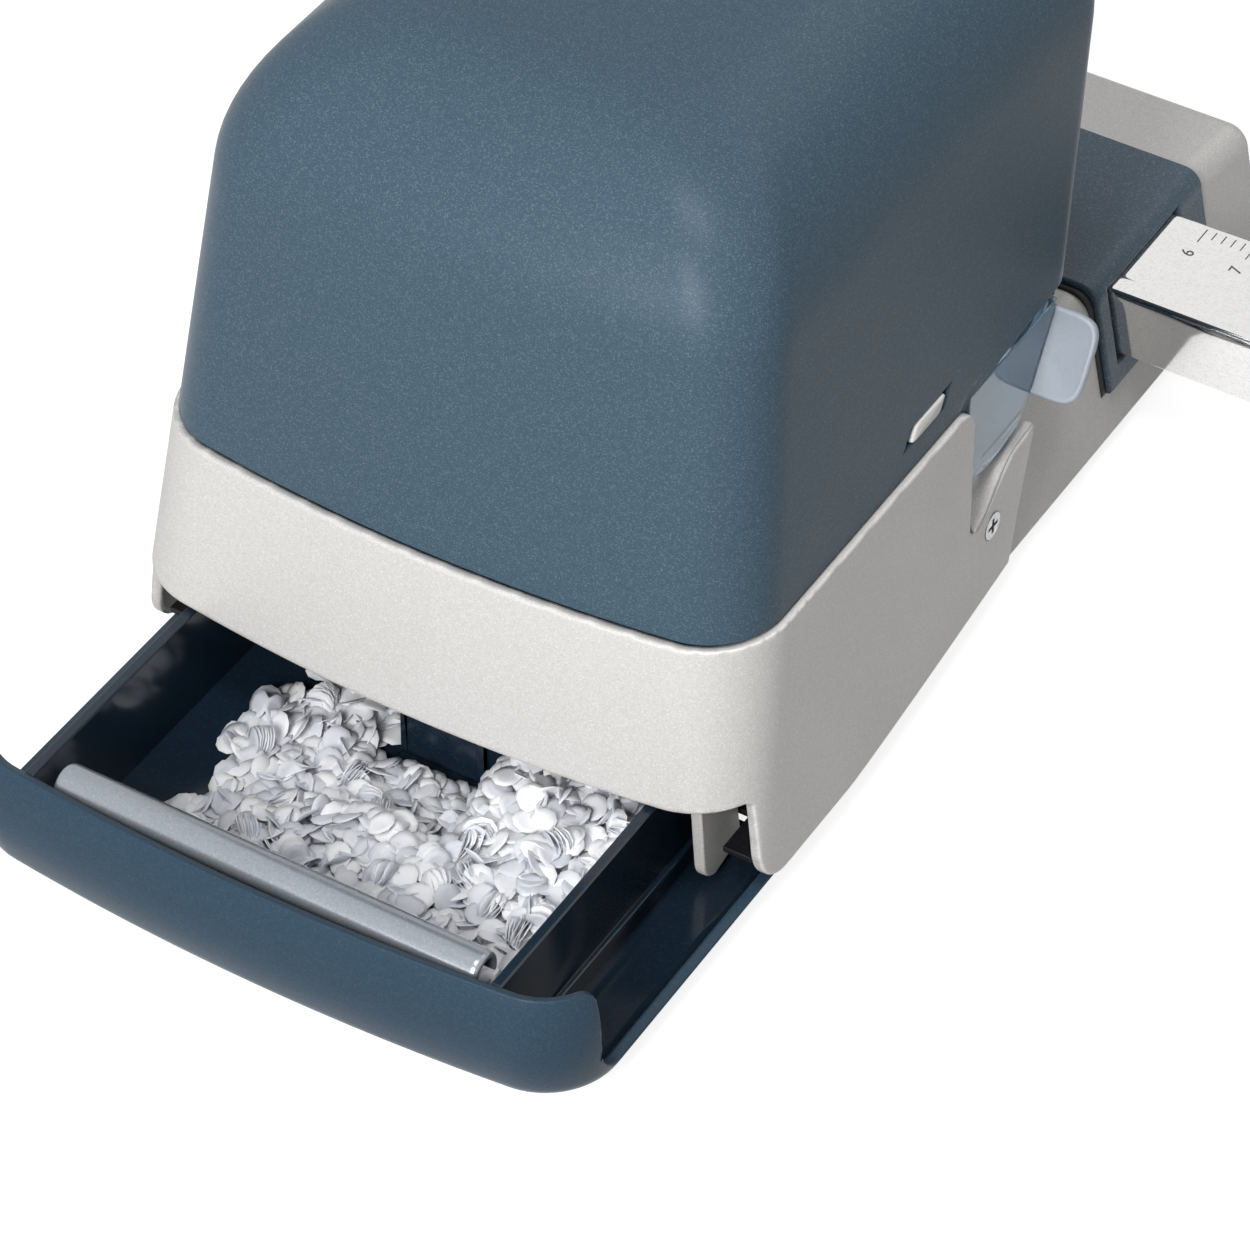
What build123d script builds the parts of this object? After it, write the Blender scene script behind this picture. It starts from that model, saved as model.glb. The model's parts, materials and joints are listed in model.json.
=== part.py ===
from build123d import *
from math import acos, cos, pi, radians, sin, sqrt, tan
import os

os.makedirs("parts", exist_ok=True)

# All sizes are in millimetres. While it is modelled, the punch has x = 0 on its middle, y = 0 on the
# line of the two punches with +y towards the user's paper, and z = 0 on the table it stands on.

# ---- paper and holes
hole_spacing = 80.0
hole_r = 2.75
hole_to_edge = 12.0
throat_gap = 4.7
table_z = 35.5

# ---- running fits and gaps
run_fit = 0.05
part_gap = 0.3
seam_gap = 0.6

# ---- body shell: the silver ring and the side walls below it
shell_wall = 2.2
ring_top_z = 59.0
ring_half_w = 60.5
ring_front_y = -96.5
seam_z = 28.0
seam_front_y = -103.3
skirt_z = 7.3
skirt_half_w = 64.0
shell_corner = 16.0
shell_bow = 3.0
waist_y = -43.0
shell_rear_y = 12.0
shell_rear_narrow = 4.5
shell_seam_lean = 8.0
notch_y = -90.2
lobe_corner = 6.0
leg_t = 2.2
leg_gap = 1.6
leg_corner = 4.0
leg_long = 12.0
leg_rise = 2.0
tip_y = -hole_to_edge - 1.0

# ---- top cover
cover_wall = 2.4
cover_top_z = 138.0
cover_dome = 28.0
cover_side_draft = 5.0
cover_front_draft = 11.0
cover_rear_draft = 16.0
cover_rear_y = 24.5
cover_rear_corner = 8.0
cover_skirt = 5.0
cover_step = 1.4
cover_edge_rise = 4.0
window_y = -28.0
window_z = 66.2
window_long = 13.0
window_high = 3.2
window_slant = 2.6

# ---- base behind the body
base_top_half_w = 51.0
base_foot_half_w = 57.5
base_wall = 2.2
base_bottom_z = 4.5
base_rear_y = 112.0
base_rear_flare = 2.5
base_corner = 4.0
control_proud = 2.0
control_z = 18.0
inlet_x = -24.0
rocker_x = -8.0
button_x = 14.0
light_x = 28.0

# ---- bottom plate and feet
plate_z = 3.0
plate_t = 1.2
plate_front_half_w = 46.0
plate_rear_half_w = 53.0
plate_front_y = -92.0
foot_r = 7.0
foot_sites = [(38.5, -84.0), (49.0, 17.0), (46.0, base_rear_y - 14.0)]
plate_screw_x = 36.0
plate_screw_sites = [(side * plate_screw_x, y) for side in (-1, 1) for y in (24.0, base_rear_y - 15.0)]

# ---- chip drawer, drawn out as it stands at rest
drawer_out = 48.0
drawer_wall = 2.0
drawer_rim_depth = 3.3
drawer_top_z = 27.6
drawer_floor_t = 1.6
scoop_mid_z = 16.0
wing_drop = 7.3
wing_drop_r = lobe_corner + 1.3
drawer_half_w = 48.0
drawer_lip = 1.0
drawer_len = 119.0
drawer_floor_z = 4.6
drawer_corner = 14.0
drawer_bow = 2.5
gutter_z = 2.2
wing_rim_z = 7.0
wing_half_w = 63.3
wing_len = 74.0
scoop_bulge = 2.9
gutter_t = 1.4
tunnel_half_w = 8.5
tunnel_start = 56.0
tunnel_wall = 1.6
grip_r = 3.8
grip_half_len = 42.0
grip_z = 24.0
chips_x0 = -34.0
chips_x1 = 45.0
chips_len = 90.0
chips_top = 20.0

# ---- paper guide with its sliding bar
housing_y0 = 49.0
housing_y1 = 92.0
housing_proud = 1.5
housing_low_z = 14.0
housing_t = 2.4
bar_y = 68.3
bar_w = 27.6
bar_under_top = 1.3
bar_drop = 14.0
bar_t = 1.2
bar_inner_x = -24.0
stop_x = 86.0
stop_t = 6.0
stop_rise = 15.8
track_half_len = 48.0
detent_x = 30.0

# ---- punch frame
frame_half_w = 54.0
frame_front_y = -22.0
frame_spine_t = 6.0
jaw_t = 6.0
frame_rear_y = 8.0
leg_inner_x = 50.2
guard_t = 1.5
guard_half_w = 58.0
guard_slope = 59.5
guard_rise = 1.0
guard_side_t = 1.5
guard_lip_y = -6.0
guard_bend_y = 10.2
ear_out = 10.0
ear_long = 17.0

# ---- drive
stroke = 10.0
yoke_clear = 0.5
bushing_flange = 1.5
yoke_t = 10.0
yoke_half_w = 47.0
column_x = 22.0
column_r = 3.0
rack_module = 1.0
rack_pinion_teeth = 16
rack_pitch_y = -8.0
rack_half_w = 5.0
rack_over = 18.5
drive_z = 90.0
train_module = 0.8
final_teeth = 50
transfer_small_teeth = 15
motor_module = 0.6
transfer_big_teeth = 48
motor_teeth = 14
shaft_r = 3.0
axle_r = 2.0
motor_shaft_r = 1.6
motor_r = 17.5
motor_len = 60.0
motor_screw_r = 12.5
motor_boss_r = 6.0
plate_in_x = 26.0
plate_out_x = 44.0
gear_plate_t = 2.0
pillar_r = 2.4
bracket_x = -14.0
addendum = 0.85
dedendum = 1.1
backlash = 0.16
pressure_angle = radians(20)

# ---- electronics
board_z = 10.0
board_t = 1.6
board_y0 = 28.0
board_y1 = 46.0
board_half_w = 42.0
board_screw_x = 38.0

# ---- worked out from the sizes above
slot_top_z = table_z + throat_gap
jaw_low_z = table_z - jaw_t
upper_jaw_z = slot_top_z + guard_t
upper_jaw_top = upper_jaw_z + jaw_t
guard_top_z = ring_top_z + guard_rise
bar_top_z = table_z - bar_under_top
stop_top_z = bar_top_z + stop_rise
yoke_z = upper_jaw_top + bushing_flange + yoke_clear + stroke
front_lean = (ring_front_y - seam_front_y) / (ring_top_z - seam_z)
base_flare = (base_foot_half_w - base_top_half_w) / (table_z - base_bottom_z)
side_lean = (skirt_half_w - ring_half_w) / (ring_top_z - skirt_z)
drawer_y = seam_front_y - drawer_out
leg_x = drawer_half_w + drawer_lip + leg_gap
leg_z = gutter_z + gutter_t + leg_gap
leg_front_y = notch_y - 1.8
leg_back_y = leg_front_y + leg_long
bar_bottom_z = bar_top_z - bar_drop
plate_top_z = plate_z + plate_t
drive_y = rack_pitch_y - rack_module * rack_pinion_teeth / 2
transfer_y = drive_y - train_module * (final_teeth + transfer_small_teeth) / 2
motor_y = transfer_y - motor_module * (transfer_big_teeth + motor_teeth) / 2
gear_plate_rear_y = rack_pitch_y + 0.5

# The assembly's origin is the middle of its own footprint, on the table.
low_x = -guard_half_w - ear_out
high_x = stop_x + stop_t
low_y = drawer_y - scoop_bulge
high_y = base_rear_y + control_proud
to_origin = Location((-(low_x + high_x) / 2, -(low_y + high_y) / 2, 0))


def save(piece, name):
    """Sets a finished piece in the assembly's own frame, names it and writes it."""
    piece.part.move(to_origin)
    piece.part.label = name
    export_step(piece.part, f"parts/{name}.step")


def shell_half_w(z):
    """Half width of the body shell at a height: its sides lean in towards the ring."""
    return ring_half_w + side_lean * (ring_top_z - z)


def shell_front(z):
    """Front of the body shell on its middle line, at a height."""
    return ring_front_y - front_lean * (ring_top_z - z)


def side_arc(a, b):
    """Quarter arc from a, on a side, to b, on the front, tangent to both."""
    k = 1 - cos(pi / 4)
    ThreePointArc(a, (a[0] + (b[0] - a[0]) * k, b[1] + (a[1] - b[1]) * k), b)


def shell_plan(half_w, front_y, corner, rear_w, rear_y):
    """Plan of the shell: bowed front, round front corners, and sides that taper behind the waist."""
    side = front_y + shell_bow + corner
    flat = front_y + shell_bow
    with BuildLine() as plan:
        Polyline((half_w, side), (half_w, waist_y), (rear_w, rear_y), (-rear_w, rear_y),
                 (-half_w, waist_y), (-half_w, side))
        side_arc((-half_w, side), (-half_w + corner, flat))
        ThreePointArc((-half_w + corner, flat), (0, front_y), (half_w - corner, flat))
        side_arc((half_w, side), (half_w - corner, flat))
    make_face(plan.edges())


def head_plan(half_w, front_y, corner, rear_y, rear_corner):
    """Plan of the cover: bowed front, straight sides, four round corners."""
    side = front_y + shell_bow + corner
    flat = front_y + shell_bow
    back = rear_y - rear_corner
    with BuildLine() as plan:
        Line((half_w, side), (half_w, back))
        side_arc((half_w, back), (half_w - rear_corner, rear_y))
        Line((half_w - rear_corner, rear_y), (-half_w + rear_corner, rear_y))
        side_arc((-half_w, back), (-half_w + rear_corner, rear_y))
        Line((-half_w, back), (-half_w, side))
        side_arc((-half_w, side), (-half_w + corner, flat))
        ThreePointArc((-half_w + corner, flat), (0, front_y), (half_w - corner, flat))
        side_arc((half_w, side), (half_w - corner, flat))
    make_face(plan.edges())


def side_cut(*points):
    """Cuts a straight-sided outline, drawn in the side view as (y, z), through the whole width."""
    with BuildSketch(Plane.YZ) as outline:
        with BuildLine():
            Polyline(*points, close=True)
        make_face()
    extrude(outline.sketch, amount=100, both=True, mode=Mode.SUBTRACT)


def block(x0, x1, y0, y1, z0, z1, mode=Mode.ADD):
    """A box from its low corner to its high corner."""
    with Locations(((x0 + x1) / 2, (y0 + y1) / 2, (z0 + z1) / 2)):
        Box(abs(x1 - x0), abs(y1 - y0), abs(z1 - z0), mode=mode)


def post(x, y, z0, z1, r, mode=Mode.ADD):
    """An upright round post or hole."""
    with Locations((x, y, (z0 + z1) / 2)):
        Cylinder(r, z1 - z0, mode=mode)


def rod(x0, x1, y, z, r, mode=Mode.ADD):
    """A round rod or hole that lies along x."""
    with Locations(((x0 + x1) / 2, y, z)):
        Cylinder(r, abs(x1 - x0), rotation=(0, 90, 0), mode=mode)


def lengthways(x, y0, y1, z, r, mode=Mode.ADD):
    """A round rod or hole that lies along y."""
    with Locations((x, (y0 + y1) / 2, z)):
        Cylinder(r, abs(y1 - y0), rotation=(90, 0, 0), mode=mode)


# ---------------------------------------------------------------- body shell
boss_y, boss_z, boss_r = -4.0, 24.0, 3.4
shell_half_at_boss = shell_half_w(boss_z)

with BuildPart() as body_shell:
    for z in (skirt_z, ring_top_z):
        rear_w = shell_half_w(z) - shell_rear_narrow * (ring_top_z - z) / (ring_top_z - skirt_z)
        with BuildSketch(Plane.XY.offset(z)):
            shell_plan(shell_half_w(z), shell_front(z), shell_corner, rear_w, shell_rear_y)
    loft(ruled=True)
    for z in (skirt_z, ring_top_z):
        rear_w = shell_half_w(z) - shell_rear_narrow * (ring_top_z - z) / (ring_top_z - skirt_z)
        with BuildSketch(Plane.XY.offset(z)):
            shell_plan(shell_half_w(z) - shell_wall, shell_front(z) + shell_wall,
                       shell_corner - shell_wall, rear_w - shell_wall, shell_rear_y + 1)
    loft(ruled=True, mode=Mode.SUBTRACT)
    # side webs that close the paper slot's floor beyond the frame
    with BuildSketch(Plane.XY.offset(table_z - shell_wall)):
        shell_plan(shell_half_w(table_z) - shell_wall / 2, shell_front(table_z) + shell_wall / 2,
                   shell_corner, shell_half_w(table_z) - shell_wall - 1, shell_rear_y)
        with Locations((0, tip_y - shell_wall - 100)):
            Rectangle(200, 200, mode=Mode.SUBTRACT)
        Rectangle(2 * (frame_half_w + part_gap), 300, mode=Mode.SUBTRACT)
    extrude(amount=shell_wall)
    # corner webs over the drawer's gutters
    for side in (-1, 1):
        block(side * 49.6, side * 60.0, notch_y - 3.0, notch_y + 11.0, seam_z, seam_z + 2.0)
        # round boss that takes the side screw
        rod(side * frame_half_w, side * (shell_half_at_boss - shell_wall / 2), boss_y, boss_z, boss_r)
    # mouth of the drawer, with the rounded foot of each side wall
    with BuildSketch(Plane.YZ):
        with BuildLine():
            Polyline((notch_y + lobe_corner, skirt_z), (notch_y + lobe_corner, 0), (drawer_y, 0),
                     (drawer_y, seam_z), (notch_y, seam_z), (notch_y, skirt_z + lobe_corner))
            ThreePointArc((notch_y, skirt_z + lobe_corner),
                          (notch_y + lobe_corner * (1 - cos(pi / 4)),
                           skirt_z + lobe_corner * (1 - sin(pi / 4))),
                          (notch_y + lobe_corner, skirt_z))
        make_face()
    extrude(amount=100, both=True, mode=Mode.SUBTRACT)
    # legs under the corner webs, which steady the drawer from both sides
    for side in (-1, 1):
        with BuildSketch(Plane.YZ.offset(side * leg_x)):
            with BuildLine():
                low = leg_z + leg_corner
                bend = leg_corner * (1 - cos(pi / 4))
                Polyline((leg_back_y, leg_z + leg_rise), (leg_back_y, seam_z + 0.5),
                         (leg_front_y, seam_z + 0.5), (leg_front_y, low))
                ThreePointArc((leg_front_y, low), (leg_front_y + bend, leg_z + bend),
                              (leg_front_y + leg_corner, leg_z))
                Line((leg_front_y + leg_corner, leg_z), (leg_back_y, leg_z + leg_rise))
            make_face()
        extrude(amount=side * leg_t)
    # paper slot, open to the sides and to the back
    side_cut((tip_y, table_z), (60, table_z), (60, 80), (tip_y, 80))
    # seam against the base, leaning forward towards the table
    side_cut((shell_rear_y, table_z + 1), (shell_rear_y - shell_seam_lean, 0), (60, 0), (60, table_z + 1))
    for side in (-1, 1):
        rod(side * (shell_half_at_boss - 3.8), side * 70, boss_y, boss_z, 2.9, mode=Mode.SUBTRACT)
        rod(side * (frame_half_w - 1), side * 70, boss_y, boss_z, 1.6, mode=Mode.SUBTRACT)
save(body_shell, "body_shell")

# the screw that holds each side of the shell to the frame
with BuildPart() as shell_screws:
    for side in (-1, 1):
        rod(side * (shell_half_at_boss - 2.2), side * (shell_half_at_boss - 3.8), boss_y, boss_z, 2.7)
        rod(side * (shell_half_at_boss - 3.8), side * (frame_half_w - 6), boss_y, boss_z, 1.5)
        with Locations((side * (shell_half_at_boss - 2.4), boss_y, boss_z)):
            Box(1.2, 3.4, 0.8, mode=Mode.SUBTRACT)
            Box(1.2, 0.8, 3.4, mode=Mode.SUBTRACT)
save(shell_screws, "shell_screws")


# ---------------------------------------------------------------- top cover
def head_inset(z):
    """How far the dome has drawn the cover in at a height."""
    up = max(0.0, z - (cover_top_z - cover_dome))
    return cover_dome - sqrt(max(0.0, cover_dome ** 2 - up ** 2))


def head_section(z, wall, step=0.0):
    """One plan of the cover at a height, drawn in by its wall and let out by its step."""
    up = max(0.0, z - ring_top_z)
    inset = head_inset(z) + wall - step
    half_w = ring_half_w - shell_wall - part_gap - up * tan(radians(cover_side_draft)) - inset
    front_y = ring_front_y + shell_wall + part_gap + up * tan(radians(cover_front_draft)) + inset
    rear_y = cover_rear_y + up * tan(radians(cover_rear_draft)) - inset * 0.9
    with BuildSketch(Plane.XY.offset(z)) as section:
        head_plan(half_w, front_y, shell_corner - shell_wall, rear_y, cover_rear_corner)
    return section.sketch


dome_z = cover_top_z - cover_dome
head_heights = [ring_top_z + part_gap]
head_heights += [dome_z + cover_dome * sin(radians(angle)) for angle in (0, 15, 30, 45, 60, 75)]
head_heights += [cover_top_z - 0.2]

with BuildPart() as top_cover:
    loft([head_section(z, 0, cover_step) for z in head_heights], ruled=True)
    skirt_top = ring_top_z + part_gap + cover_wall
    loft([head_section(z, 0) for z in (ring_top_z - cover_skirt, skirt_top)], ruled=True)
    roof = [z - cover_wall if z > dome_z else z for z in head_heights[1:]]
    low_room = [head_section(z, cover_wall) for z in (ring_top_z - cover_skirt, skirt_top)]
    loft(low_room + [head_section(z, cover_wall, cover_step) for z in roof], ruled=True, mode=Mode.SUBTRACT)
    # lower edge: inside the ring in front, rising over the paper slot behind it
    side_cut((tip_y, 40), (tip_y, ring_top_z + 1), (cover_rear_y + 20, ring_top_z + 1 + cover_edge_rise),
             (cover_rear_y + 20, 40))
    # slot for the snap tongue on each side
    half, high = window_long / 2, window_high / 2
    side_cut((window_y - half - window_slant / 2, window_z - high), (window_y + half - window_slant / 2,
             window_z - high), (window_y + half + window_slant / 2, window_z + high),
             (window_y - half + window_slant / 2, window_z + high))
save(top_cover, "top_cover")

# snap tongues of the ring, standing in the cover's two slots
window_lean = (window_z - ring_top_z) * tan(radians(cover_side_draft))
window_half_w = ring_half_w - shell_wall - part_gap + cover_step - window_lean
clip_out = window_half_w - cover_step - cover_wall - 0.2
with BuildPart() as cover_clips:
    for side in (-1, 1):
        half = window_long / 2 - 1.6
        block(side * (clip_out - 1.2), side * clip_out, window_y - half, window_y + half, ring_top_z - 10,
              window_z + window_high / 2 - part_gap)
        block(side * clip_out, side * (window_half_w - part_gap), window_y - half, window_y + half,
              window_z - window_high / 2 + part_gap, window_z + window_high / 2 - part_gap)
        foot_x = shell_half_w(ring_top_z - cover_skirt) - shell_wall - 0.2
        block(side * clip_out, side * foot_x, window_y - half, window_y + half, ring_top_z - 10,
              ring_top_z - cover_skirt - part_gap)
save(cover_clips, "cover_clips")

# ---------------------------------------------------------------- throat guard
guard_run = (guard_top_z - slot_top_z) / tan(radians(guard_slope))
guard_across = guard_t / sin(radians(guard_slope))
guard_inner_bend = guard_bend_y - guard_across + guard_t / tan(radians(guard_slope))
guard_side_x = ring_half_w - shell_wall - part_gap - 0.4
guard_plane = Plane(origin=(0, guard_bend_y + guard_run / 2 - guard_across, (guard_top_z + slot_top_z) / 2),
                    x_dir=(1, 0, 0), z_dir=(0, sin(radians(guard_slope)), -cos(radians(guard_slope))))

with BuildPart() as throat_guard:
    with BuildSketch(Plane.YZ) as guard_profile:
        with BuildLine():
            Polyline((guard_lip_y, slot_top_z), (guard_bend_y, slot_top_z),
                     (guard_bend_y + guard_run, guard_top_z),
                     (guard_bend_y + guard_run - guard_across, guard_top_z),
                     (guard_inner_bend, slot_top_z + guard_t), (guard_lip_y, slot_top_z + guard_t),
                     close=True)
        make_face()
    extrude(amount=guard_side_x, both=True)
    # side walls, from the shell's cheeks back to the slope, under the cover's lower edge
    for side in (-1, 1):
        with BuildSketch(Plane.YZ.offset(side * guard_side_x)):
            with BuildLine():
                Polyline((tip_y + part_gap, slot_top_z + guard_t),
                         (tip_y + part_gap, ring_top_z + guard_rise / 2),
                         (guard_bend_y + guard_run - guard_across, ring_top_z + guard_rise / 2),
                         (guard_inner_bend, slot_top_z + guard_t), (guard_bend_y, slot_top_z),
                         (tip_y + part_gap + 8, slot_top_z), close=True)
            make_face()
        extrude(amount=-side * guard_side_t)
    # frosted ears on both sides of the slope
    with BuildSketch(guard_plane):
        with Locations((0, 0.8)):
            RectangleRounded(2 * (guard_half_w + ear_out), ear_long, 5)
    extrude(amount=guard_t)
    for side in (-1, 1):
        post(side * hole_spacing / 2, 0, slot_top_z - 1, slot_top_z + 3, hole_r + 1, mode=Mode.SUBTRACT)
save(throat_guard, "throat_guard")


# ---------------------------------------------------------------- base
def base_half_w(z):
    """Half width of the base at a height: its sides flare towards the table."""
    return base_top_half_w + base_flare * (table_z - z)


def base_plan(y, extra, wall, low):
    """Section of the base across x: flat top, round shoulders, flared sides; wall draws it in."""
    top = table_z - wall
    half_top = base_half_w(top) + extra - wall
    half_low = base_half_w(low) + extra - wall
    r = base_corner
    slope = base_flare
    with BuildSketch(Plane(origin=(0, y, 0), x_dir=(1, 0, 0), z_dir=(0, -1, 0))) as section:
        with BuildLine():
            a, b = (half_top - r, top), (half_top + slope * r, top - r)
            mid = (half_top - r * 0.29 + slope * r * 0.3, top - r * 0.29)
            Line((-a[0], top), a)
            ThreePointArc(a, mid, b)
            Polyline(b, (half_low, low), (-half_low, low), (-b[0], b[1]))
            ThreePointArc((-b[0], b[1]), (-mid[0], mid[1]), (-a[0], top))
        make_face()
    return section.sketch


with BuildPart() as base_table:
    loft([base_plan(-2, 0, 0, base_bottom_z), base_plan(housing_y1 - 8, 0, 0, base_bottom_z)], ruled=True)
    loft([base_plan(housing_y1 - 8, 0, 0, base_bottom_z),
          base_plan(base_rear_y, base_rear_flare, 0, base_bottom_z)], ruled=True)
    rear_edges = base_table.edges().filter_by(lambda e: e.center().Y > base_rear_y - 0.01
                                              and e.center().Z > base_bottom_z + 1)
    fillet(rear_edges, 3.5)
    loft([base_plan(-3, 0, base_wall, base_bottom_z - 1),
          base_plan(housing_y1 - 8, 0, base_wall, base_bottom_z - 1)], ruled=True, mode=Mode.SUBTRACT)
    loft([base_plan(housing_y1 - 8, 0, base_wall, base_bottom_z - 1),
          base_plan(base_rear_y - base_wall, base_rear_flare, base_wall, base_bottom_z - 1)],
         ruled=True, mode=Mode.SUBTRACT)
    # front end, parallel to the shell's rear edge and clear of the frame
    lean = shell_seam_lean / (table_z + 1)
    side_cut((-10, 0), (shell_rear_y - shell_seam_lean + seam_gap, 0),
             (shell_rear_y + seam_gap, table_z + 1), (-10, table_z + 1))
    # saddle for the guide housing
    side_cut((housing_y0 - seam_gap, housing_low_z - seam_gap), (housing_y1 + seam_gap,
             housing_low_z - seam_gap), (housing_y1 + seam_gap, 60), (housing_y0 - seam_gap, 60))
    # openings in the rear wall
    for x, half_w, half_h in ((inlet_x, 6.0, 5.0), (rocker_x, 7.2, 5.2)):
        block(x - half_w, x + half_w, base_rear_y - 6, base_rear_y + 1, control_z - half_h,
              control_z + half_h, mode=Mode.SUBTRACT)
    for x, r in ((button_x, 4.6), (light_x, 1.9)):
        lengthways(x, base_rear_y - 6, base_rear_y + 1, control_z, r, mode=Mode.SUBTRACT)
    # bosses for the bottom plate's screws
    for x, y in plate_screw_sites:
        post(x, y, plate_top_z, table_z - base_wall / 2, 3.6)
        post(x, y, plate_top_z - 1, plate_top_z + 12, 1.5, mode=Mode.SUBTRACT)
save(base_table, "base_table")


# ---------------------------------------------------------------- bottom plate and feet
with BuildPart() as base_plate:
    block(-plate_front_half_w, plate_front_half_w, plate_front_y, frame_front_y, plate_z, plate_top_z)
    block(-plate_rear_half_w, plate_rear_half_w, frame_front_y, base_rear_y - 4, plate_z, plate_top_z)
    corners = base_plate.edges().filter_by(Axis.Z)
    fillet(corners.group_by(Axis.Y)[0], 4)
    for x, y in plate_screw_sites:
        post(x, y, plate_z - 1, plate_top_z + 1, 1.6, mode=Mode.SUBTRACT)
save(base_plate, "base_plate")

with BuildPart() as base_screws:
    for x, y in plate_screw_sites:
        post(x, y, plate_z - 1.4, plate_z, 2.9)
        post(x, y, plate_z, plate_z + 9, 1.5)
        with Locations((x, y, plate_z - 1.2)):
            Box(3.6, 0.8, 0.8, mode=Mode.SUBTRACT)
            Box(0.8, 3.6, 0.8, mode=Mode.SUBTRACT)
save(base_screws, "base_screws")

with BuildPart() as rubber_feet:
    for x, y in foot_sites:
        for side in (-1, 1):
            with Locations((side * x, y, 0)):
                Cone(foot_r - 0.8, foot_r, plate_z, align=(Align.CENTER, Align.CENTER, Align.MIN))
save(rubber_feet, "rubber_feet")


# ---------------------------------------------------------------- chip drawer
box_y = drawer_y + drawer_rim_depth
box_end = box_y + drawer_len
wing_end_y = box_y + wing_len
scoop_span = seam_z - scoop_mid_z


def tub_section(z, inset, wall):
    """Plan of the drawer's outer tub at a height: its front bulges between rim and bottom."""
    bulge = scoop_bulge * max(0.0, 1 - ((z - scoop_mid_z) / scoop_span) ** 2)
    front_y = drawer_y - bulge + inset + wall
    half_w = min(wing_half_w, shell_half_w(seam_z) + bulge * 0.25) - inset - wall
    corner = drawer_corner - wall
    side, flat = front_y + drawer_bow + corner, front_y + drawer_bow
    rear_y = wing_end_y + wall
    with BuildSketch(Plane.XY.offset(z)) as section:
        with BuildLine():
            Polyline((half_w, side), (half_w, rear_y), (-half_w, rear_y), (-half_w, side))
            side_arc((-half_w, side), (-half_w + corner, flat))
            ThreePointArc((-half_w + corner, flat), (0, front_y), (half_w - corner, flat))
            side_arc((half_w, side), (half_w - corner, flat))
        make_face()
    return section.sketch


tub_levels = [(gutter_z, 4.6), (gutter_z + 0.9, 2.2), (gutter_z + 2.6, 0.7), (8.0, 0.0),
              (12.0, 0.0), (scoop_mid_z, 0.0), (22.0, 0.0), (seam_z - part_gap, 0.0)]

with BuildPart() as chip_drawer:
    loft([tub_section(z, inset, 0) for z, inset in tub_levels], ruled=True)
    inner_levels = [(gutter_z + gutter_t, 2.0), (6.0, 0.6), (10.0, 0.0), (scoop_mid_z, 0.0),
                    (22.0, 0.0), (seam_z - part_gap, 0.0)]
    loft([tub_section(z, inset, drawer_wall) for z, inset in inner_levels], ruled=True, mode=Mode.SUBTRACT)
    # the side walls drop in a curve from the rim to the low wings, round the shell's foot when shut
    for side in (-1, 1):
        with BuildSketch(Plane.YZ.offset(side * 50)):
            with BuildLine():
                drop = box_y + wing_drop
                low = wing_rim_z + wing_drop_r
                Line((drop, seam_z + 2), (drop, low))
                ThreePointArc((drop, low), (drop + wing_drop_r * (1 - cos(pi / 4)),
                                            low - wing_drop_r * sin(pi / 4)),
                              (drop + wing_drop_r, wing_rim_z))
                Polyline((drop + wing_drop_r, wing_rim_z), (wing_end_y + 5, wing_rim_z),
                         (wing_end_y + 5, seam_z + 2), (drop, seam_z + 2))
            make_face()
        extrude(amount=side * 20, mode=Mode.SUBTRACT)
    # the middle of the bottom is raised: a grip below the front, and room for the bottom plate
    block(-plate_front_half_w - 1, plate_front_half_w + 1, box_y + 3, wing_end_y + 5, 0, drawer_floor_z,
          mode=Mode.SUBTRACT)
    with BuildSketch(Plane.XZ.offset(-(box_y + 6))):
        with BuildLine():
            Polyline((-41, 0), (-36, drawer_floor_z + 0.6), (36, drawer_floor_z + 0.6), (41, 0), close=True)
        make_face()
    extrude(amount=30, mode=Mode.SUBTRACT)
    # chip box
    floor_top = drawer_floor_z + drawer_floor_t
    block(-drawer_half_w, drawer_half_w, box_y - 1, box_end, drawer_floor_z, floor_top)
    block(-drawer_half_w, drawer_half_w, box_end - drawer_wall, box_end, drawer_floor_z, drawer_top_z)
    for side in (-1, 1):
        block(side * (drawer_half_w - drawer_wall), side * drawer_half_w, box_y + 0.4, box_end,
              drawer_floor_z, drawer_top_z)
        block(side * drawer_half_w, side * (drawer_half_w + drawer_lip), box_y + 3, wing_end_y, 8.6, 10.0)
    # tunnel for the fixed rail, open below and behind
    block(-tunnel_half_w, tunnel_half_w, box_y + tunnel_start, box_end, drawer_floor_z, drawer_top_z)
    block(-tunnel_half_w + tunnel_wall, tunnel_half_w - tunnel_wall, box_y + tunnel_start + tunnel_wall,
          box_end + 1, drawer_floor_z - 1, drawer_top_z - tunnel_wall, mode=Mode.SUBTRACT)
save(chip_drawer, "chip_drawer")

grip_y = box_y + grip_r + 0.5
with BuildPart() as drawer_grip:
    rod(-grip_half_len, grip_half_len, grip_y, grip_z, grip_r)
    rod(-grip_half_len - 1, grip_half_len + 1, grip_y, grip_z, grip_r - 1.3, mode=Mode.SUBTRACT)
    block(-grip_half_len - 1, grip_half_len + 1, grip_y - 5, grip_y + 5, grip_z - 6, grip_z - 1.6,
          mode=Mode.SUBTRACT)
    for side in (-1, 1):
        block(side * (grip_half_len - 8), side * (grip_half_len - 2), box_y - 0.6, grip_y - grip_r + 1.2,
              grip_z - 1.4, grip_z + 0.2)
save(drawer_grip, "drawer_grip")

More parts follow.
